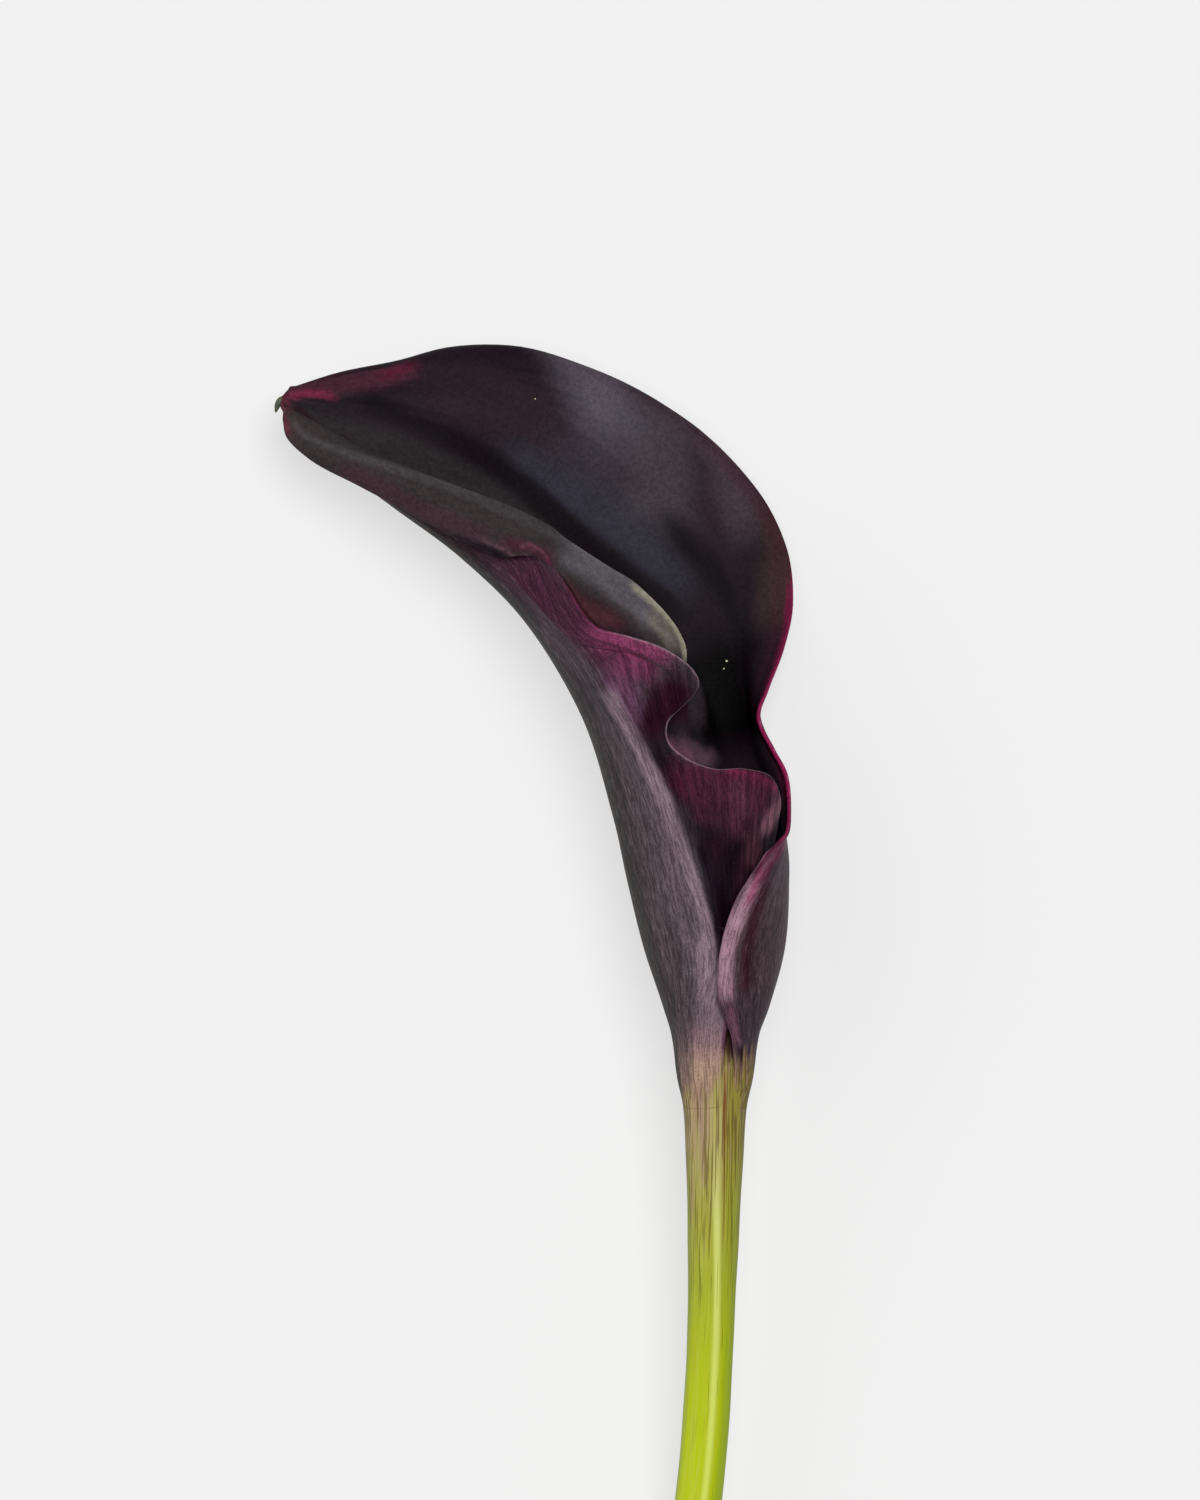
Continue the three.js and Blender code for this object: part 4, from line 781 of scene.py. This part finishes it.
def painted(face, side, u, v):
    """The colour at each point of one face."""
    ripples = streaky(u, v)
    colours = np.broadcast_to(light(GROUND[side]), face.shape)
    for (start, end), colour in TURNING_GROUND[side]:
        colours = mix(colours, light(colour), ease(start, end, u)[:, None, None])
    for columns, lines in [group[1:] for group in PAINT if group[0] == side]:
        kept = window(u, columns)[:, None]
        for path, width, soft, colour, strength in lines:
            share = near_line(face, path, width, soft, ripples) * kept * strength
            colours = mix(colours, light(colour), share[..., None])
    rim = rim_distance(face)
    for on_side, columns, heights, width, colour, strength in MARGINS:
        if on_side in (side, BOTH):
            kept = window(u, columns)[:, None] * window(v, heights)[None, :]
            share = (1 - ease(0, width, rim + ripples * width * MARGIN_RIPPLE)) * kept * strength
            colours = mix(colours, light(colour), share[..., None])
    return np.maximum(colours - GLOSS, DARKEST)


def run_lengths(face, u):
    """How far each point is along its row, from the midrib, and up its column."""
    steps = [np.diff(face, axis=axis, prepend=face.take([0], axis)) for axis in (0, 1)]
    across, along = [np.cumsum(np.linalg.norm(step, axis=2), axis) for axis, step in enumerate(steps)]
    return across - across[np.argmin(abs(u - MIDRIB[0]))], along


def spathe_marks(face, side, u, v):
    """The numbers and the colour that the material reads."""
    x, y = face[..., 0], face[..., 1]
    rise = np.maximum(y - RAYS_FROM[1], RAYS_LEAST_HEIGHT)
    return {
        "side": np.full(face.shape[:2], float(side)),
        "tint": painted(face, side, u, v),
        "fan": np.broadcast_to(u[:, None] * FAN_WIDTH, x.shape),
        "rays": (x - RAYS_FROM[0]) / rise * RAYS_SPREAD,
        "lobes": (1 - ease(*LOBES_END_ACROSS, u))[:, None] * window(v, LOBES_ALONG)[None, :],
        "run": run_lengths(face, u)[1],
        "upward": face[..., 2] / np.hypot(x, face[..., 2]),
        "aside": x,
    }


# Pieces.

def make_spathe(material):
    u = crowded(CELLS_ACROSS, RIM_EDGES_ACROSS)
    v = crowded(CELLS_ALONG, RIM_EDGES_ALONG)
    outer = seated(crumpled(outer_face(u, v)), v, FOOT_SUNK)
    inner = seated(crumpled(inner_face(u, v)), v, FOOT_SUNK + MARGIN_THICK)
    outer, inner = rounded(outer, inner)
    bm = bmesh.new()
    bent_grid(bm, outer, spathe_marks(outer, OUTSIDE, u, v), run_lengths(outer, u))
    bent_grid(bm, inner, spathe_marks(inner, INSIDE, u, v), run_lengths(inner, u), inward=True)
    finished(bm, "spathe_sheet", material, "spathe", "spathe", merge=0.002)


def ring_points(centre, direction, radii, turns):
    """Points round a centre, square to a direction, at a radius for each turn."""
    aside = np.cross((0, 0, 1), direction)
    aside = aside / np.linalg.norm(aside)
    up = np.cross(direction, aside)
    angles = 2 * math.pi * turns
    return centre + radii[:, None] * (np.cos(angles)[:, None] * aside + np.sin(angles)[:, None] * up)


def stem_centre(y):
    x, z = along_table(STEM_PATH, y)[0]
    return np.array((x, y, z))


def stem_direction(y):
    if y > STRAIGHT_FROM_Y:
        return np.array((0.0, 1.0, 0.0))
    way = stem_centre(y + 0.5) - stem_centre(y - 0.5)
    return way / np.linalg.norm(way)


def make_stem(material):
    turns = np.linspace(0, 1, STEM_SIDES + 1)
    angles = 2 * math.pi * turns
    profile = [(STEM_CUT, share * STEM_RADII[0][1]) for share in CUT_RINGS]
    for y in np.linspace(STEM_CUT + CUT_EDGE, SHOULDER_Y, STEM_RINGS):
        profile.append((y, float(along_table(STEM_RADII, y)[0, 0])))
    profile += RECEPTACLE_RADII
    rings = []
    for y, radius in profile:
        ribs = sum(np.sin(count * angles + twist * y) for count, twist in STEM_RIBS)
        swelling = sum(math.sin(pace * y + start) for pace, start in STEM_SWELLINGS)
        relief = (STEM_RELIEF * (ribs + swelling) - STEM_SLIMMER) * min(1, radius / RELIEF_FULL_FROM)
        radii = (radius + relief) * (radius > 0)
        rings.append(ring_points(stem_centre(y), stem_direction(y), radii, turns))
    levels, radii = np.array(profile).T
    heights = (levels - STEM_CUT) / (levels[-1] - STEM_CUT)
    marks = {
        "cut": np.tile((levels == STEM_CUT).astype(float), (len(turns), 1)),
        "upward": np.tile(np.sin(angles)[:, None], (1, len(profile))),
        "aside": -np.cos(angles)[:, None] * radii,
    }
    bm = bmesh.new()
    bent_grid(bm, np.stack(rings, axis=1), marks, spread(turns, heights))
    finished(bm, "stem_stalk", material, "stem", "stem", merge=0.01)


def make_spadix(material):
    turns, rows = np.linspace(0, 1, SPADIX_SIDES + 1), np.linspace(0, 1, SPADIX_RINGS)
    into_dome = np.clip((rows - SPADIX_DOME_FROM) / (1 - SPADIX_DOME_FROM), 0, 1)
    dome = np.sqrt(1 - into_dome ** 2)
    dome[0] = 0
    body = SPADIX_RADIUS * mix(1, SPADIX_NARROWING, rows) * dome
    level = rows * FLORET_ROWS
    half_step = (np.floor(level) % 2)[None, :] / 2
    place = turns[:, None] * FLORETS_ROUND + half_step
    aside, up = place % 1 * 2 - 1, (level % 1)[None, :] * 2 - 1
    bead = np.sqrt(np.clip(1 - aside ** 2 - up ** 2, 0, 1))
    radii = body + FLORET_RELIEF * (2 * bead - 1) * dome
    angles = 2 * math.pi * turns[:, None]
    heights = np.broadcast_to(mix(SPADIX_FOOT_Y, SPADIX_TOP_Y, rows), radii.shape)
    points = np.stack((radii * np.sin(angles), heights, radii * np.cos(angles)), axis=2)
    bm = bmesh.new()
    bent_grid(bm, points, {"bead": bead}, spread(turns, rows))
    finished(bm, "spadix_florets", material, "spadix", "spadix", merge=0.01)


def make_cusp(material):
    turns, shares = np.linspace(0, 1, CUSP_SIDES + 1), np.linspace(0, 1, CUSP_RINGS)
    path = curve_through(np.linspace(0, 1, len(CUSP)), CUSP, shares)
    path[0, 3] = path[-1, 3] = 0
    ways = np.gradient(path[:, :3], axis=0)
    ways /= np.linalg.norm(ways, axis=1, keepdims=True)
    rings = [ring_points(row[:3], way, np.full(len(turns), max(row[3], 0)), turns)
             for row, way in zip(path, ways)]
    bm = bmesh.new()
    bent_grid(bm, np.stack(rings, axis=1), {}, spread(turns, shares))
    finished(bm, "tip_point", material, "spathe", merge=0.005)


def make_pollen(material):
    """Grains half sunk in the wall of the bowl."""
    u, v = np.linspace(*POLLEN_COLUMNS), np.linspace(*POLLEN_HEIGHTS)
    wall = inner_face(u, v).reshape(-1, 3)
    bm = bmesh.new()
    for x, y, radius in POLLEN:
        near = wall[np.argsort(np.hypot(wall[:, 0] - x, wall[:, 1] - y))[:POLLEN_NEIGHBOURS]]
        top = max(near, key=lambda point: point[2])
        made = bmesh.ops.create_icosphere(bm, subdivisions=2, radius=radius * MM)
        bmesh.ops.translate(bm, verts=made["verts"], vec=to_frame((x, y, top[2])))
    finished(bm, "pollen", material, "spathe", merge=0)


# Finishes.

def drawn(s, axis):
    """One coordinate of a point in the drawing frame, in millimetres."""
    place = s.node("SeparateXYZ", None, {"Vector": s.place("Object")}, axis)
    return place * (1 / MM) - float(AXIS_PLACE["XYZ".index(axis)])


def grey(level):
    return (level, level, level, 1)


def mixed(s, share, first, second):
    return s.node("Mix", None, {0: share, 2: first, 3: second})


def fibres(s, scale, length):
    """Fine threads along the stem, about as many to a millimetre as the scale."""
    places = {"X": s.mark("aside"), "Y": drawn(s, "Y"), "Z": s.mark("upward") * ROUND_REACH}
    around = s.node("CombineXYZ", None, places)
    return s.noise(around, scale, stretch=(1, length, 1))


def ramp(s, height, stops):
    """A colour, or an amount, that changes with the height."""
    stops = [(at, shade(stop) if isinstance(stop, str) else grey(stop)) for at, stop in stops]
    return s.node("ValToRGB", {"stops": stops}, {"Fac": height})


def beside(s, aside, middle, wide, soft):
    """1 on a line that runs along the stem, fading out to its sides."""
    return 1 - s.glide((aside - middle).maths("ABSOLUTE"), wide, wide + soft)


def stem_colour(s):
    """Yellow-green with a painted highlight along the top, and brown and mauve fibres near the bloom."""
    height = (drawn(s, "Y") - COLOURS_FROM) / COLOURS_HEIGHT
    fine, broad = fibres(s, 4.2, 0.03), fibres(s, 0.9, 0.04)
    lines, stains = fibres(s, 3.4, 0.02), fibres(s, 1.3, 0.05)
    aside = s.mark("aside")
    swayed = aside + (broad - 0.5) * 0.9

    green = ramp(s, height, STEM_GREENS)
    green = s.blend(s.glide(fine + broad * 0.5, 0.7, 0.95) * 0.4, green, shade("#c9d05c"))

    deep_from = 1.7 - s.glide(height, 0.35, 0.65) * 0.7
    deep = s.glide(swayed - deep_from, 0.0, 1.2) * 0.85
    green = s.blend(deep, green, ramp(s, height, STEM_DEEPS))

    middle = 0.9 - s.glide(height, 0.3, 0.7) * 0.6
    # A painted highlight along the stem's top, where the light from above falls.
    top_highlight = beside(s, swayed * 0.3 + aside * 0.7, middle, 0.12, 0.75) * s.glide(height, 0.84, 0.5)
    green = s.blend(top_highlight * 0.85, green, ramp(s, height, STEM_HIGHLIGHTS))

    left = s.glide(aside, 1.6, -3.0)
    stained = stains * 0.6 + fine * 0.5 + ramp(s, height, MAUVE_AMOUNTS) + left * 0.16
    mauve = s.glide(stained, 0.8, 0.98) * 0.8
    green = s.blend(mauve, green, ramp(s, height, STEM_MAUVES))
    streak = beside(s, swayed, -2.1, 0.2, 0.9) * s.glide(height, 0.56, 0.76)
    green = s.blend(streak * 0.6, green, shade("#a5857c"))

    # Painted shade down the stem's sides, where they turn away from the light above.
    rim = 1 - s.glide(s.mark("upward"), 0.1, 0.72)
    green = s.blend(rim * 0.7, green, ramp(s, height, STEM_SHADED_SIDES))

    lined = lines + broad * 0.3 + ramp(s, height, DARK_AMOUNTS) - top_highlight * 0.1
    green = s.blend(s.glide(lined, 0.8, 0.9) * 0.7, green, ramp(s, height, STEM_DARKS))
    rust = beside(s, swayed, 1.5, 0.05, 0.35) * s.glide(height, 0.45, 0.62) * s.glide(lines, 0.38, 0.5)
    return s.blend(rust * 0.8, green, shade("#7e4a22"))


def spathe_grains(s, side, lobes):
    """The threads of the outside, and the grain of either face."""
    along = {"Y": s.mark("run"), "Z": side * SIDES_APART}
    fanned, rayed = [s.node("CombineXYZ", None, {"X": s.mark(name), **along}) for name in ("fan", "rays")]
    threads = mixed(s, lobes, threads_on(s, fanned, 0.4), threads_on(s, rayed, 0.55))
    place = s.place("Object")
    specks, mottle, peel = [s.noise(place, scale, rough=0.6) for scale in (3000.0, 900.0, 1400.0)]
    clouds = s.noise(place, 180.0)
    outer = threads + specks * 0.25 - 0.125
    inner = clouds * 0.2 + specks * 0.3 + mottle * 0.15 + peel * 0.5 - 0.075
    return outer, mixed(s, side, outer, inner)


def threads_on(s, placed, veins):
    """Fine threads with broader veins among them."""
    fine = s.noise(placed, 4.6, rough=0.6, stretch=(1, 0.09, 1), sway=0.2)
    broad = s.noise(placed, 1.5, rough=0.6, stretch=(1, 0.04, 1))
    return fine * (1 - veins) + broad * veins


def foot_of_stem_colour(s):
    """1 where the sheet keeps its colour, 0 below a ragged edge."""
    ragged = (fibres(s, 3.4, 0.03) - 0.5) * 9 + (fibres(s, 0.8, 0.06) - 0.5) * 14
    slant = s.glide(s.mark("aside"), -1.6, 1.2) * 5.5 - 2
    height = drawn(s, "Y")
    return s.glide(height - ragged - slant, -2.2, 2.2) * s.glide(height, -3.5, 0.6)


def spathe_finish():
    s = Shader("spathe_skin")
    side, lobes = s.mark("side"), s.mark("lobes")
    threads, grain = spathe_grains(s, side, lobes)
    lit = s.glide(grain, side * -0.06 + 0.4, side * 0.06 + 0.6)
    brightness = lit * (0.8 - side * 0.35) + 0.64 + side * 0.13
    scaled = {0: s.mark("tint", "Color"), "Scale": brightness}
    skin = s.node("VectorMath", {"operation": "SCALE"}, scaled)
    glints = s.glide(threads, 0.59, 0.69) * (1 - side) * (1 - lobes * 0.85)
    skin = s.blend(glints * 0.35, skin, shade("#97838f"))
    foot = s.blend(1 - foot_of_stem_colour(s), skin, stem_colour(s))
    skin = s.blend(side, foot, skin)
    bump = s.bump(grain, 0.5, 0.0002)
    return s.finish(Base_Color=skin, Roughness=0.45, Specular_IOR_Level=0.03, Normal=bump)


def stem_finish():
    s = Shader("stem_skin")
    hidden = s.glide(drawn(s, "Y") + (fibres(s, 2.4, 0.02) - 0.5) * 8, 3.2, 6.0)
    skin = s.blend(hidden * 0.85, stem_colour(s), shade("#3a1c26"))
    skin = s.blend(s.mark("cut"), skin, shade("#c9d08a"))
    bump = s.bump(fibres(s, 2.4, 0.008), 0.3, 0.0001)
    return s.finish(Base_Color=skin, Roughness=0.4, Specular_IOR_Level=0.1, Normal=bump)


def two_toned(name, dark, pale, roughness, grain=None):
    """A finish between two colours, by a noise as fine as grain or else by the mesh's beads."""
    s = Shader(name)
    share = s.noise(s.place("Object"), grain) if grain else s.mark("bead")
    return s.finish(Base_Color=s.blend(share, shade(dark), shade(pale)), Roughness=roughness)


# The stage.

def make_stage():
    bm = bmesh.new()
    bmesh.ops.create_grid(bm, x_segments=1, y_segments=1, size=FLOOR_HALF_SIZE)
    paper = Shader("floor_paper").finish(Base_Color=grey(0.3), Roughness=0.9, Specular_IOR_Level=0.1,
                                         Emission_Color=grey(1), Emission_Strength=0.6)
    mesh_object(bm, "floor", paper)


def make_sun(name, azimuth, height, strength, breadth):
    """A soft light from far away; the angles are in degrees."""
    sun = bpy.data.lights.new(name, "SUN")
    sun.energy, sun.angle = strength, math.radians(breadth)
    turn, tilt = math.radians(azimuth), math.radians(height)
    way = Vector((math.cos(turn) * math.cos(tilt), math.sin(turn) * math.cos(tilt), math.sin(tilt)))
    added(name, sun).rotation_euler = way.to_track_quat("Z", "Y").to_euler()


def make_light():
    make_sun("key", azimuth=60, height=76, strength=2.0, breadth=30)
    make_sun("side", azimuth=170, height=45, strength=0.8, breadth=50)
    world = bpy.data.worlds.new("studio")
    world.use_nodes = True
    background = world.node_tree.nodes["Background"].inputs
    background["Color"].default_value = grey(1)
    background["Strength"].default_value = WORLD_LIGHT
    bpy.context.scene.world = world
    bpy.context.scene.view_settings.view_transform = "Standard"


def make_camera():
    """Looks straight down from far away."""
    lens = bpy.data.cameras.new("camera")
    lens.lens, lens.sensor_width = FOCAL_LENGTH, SENSOR_HEIGHT
    view = added("camera", lens)
    distance = PICTURE_HEIGHT * MM * FOCAL_LENGTH / SENSOR_HEIGHT
    view.location = Vector(to_frame(PICTURE_MIDDLE)) + Vector((0, 0, distance))
    bpy.context.scene.camera = view


make_camera()
make_stage()
make_light()
make_spathe(spathe_finish())
make_stem(stem_finish())
make_spadix(two_toned("spadix_beads", "#5a3a12", "#c08a2c", 0.7))
make_cusp(two_toned("tip_green", "#30382a", "#57624a", 0.6, grain=900))
make_pollen(two_toned("pollen_grains", "#c9bf9c", "#f4efd8", 0.8, grain=6000))
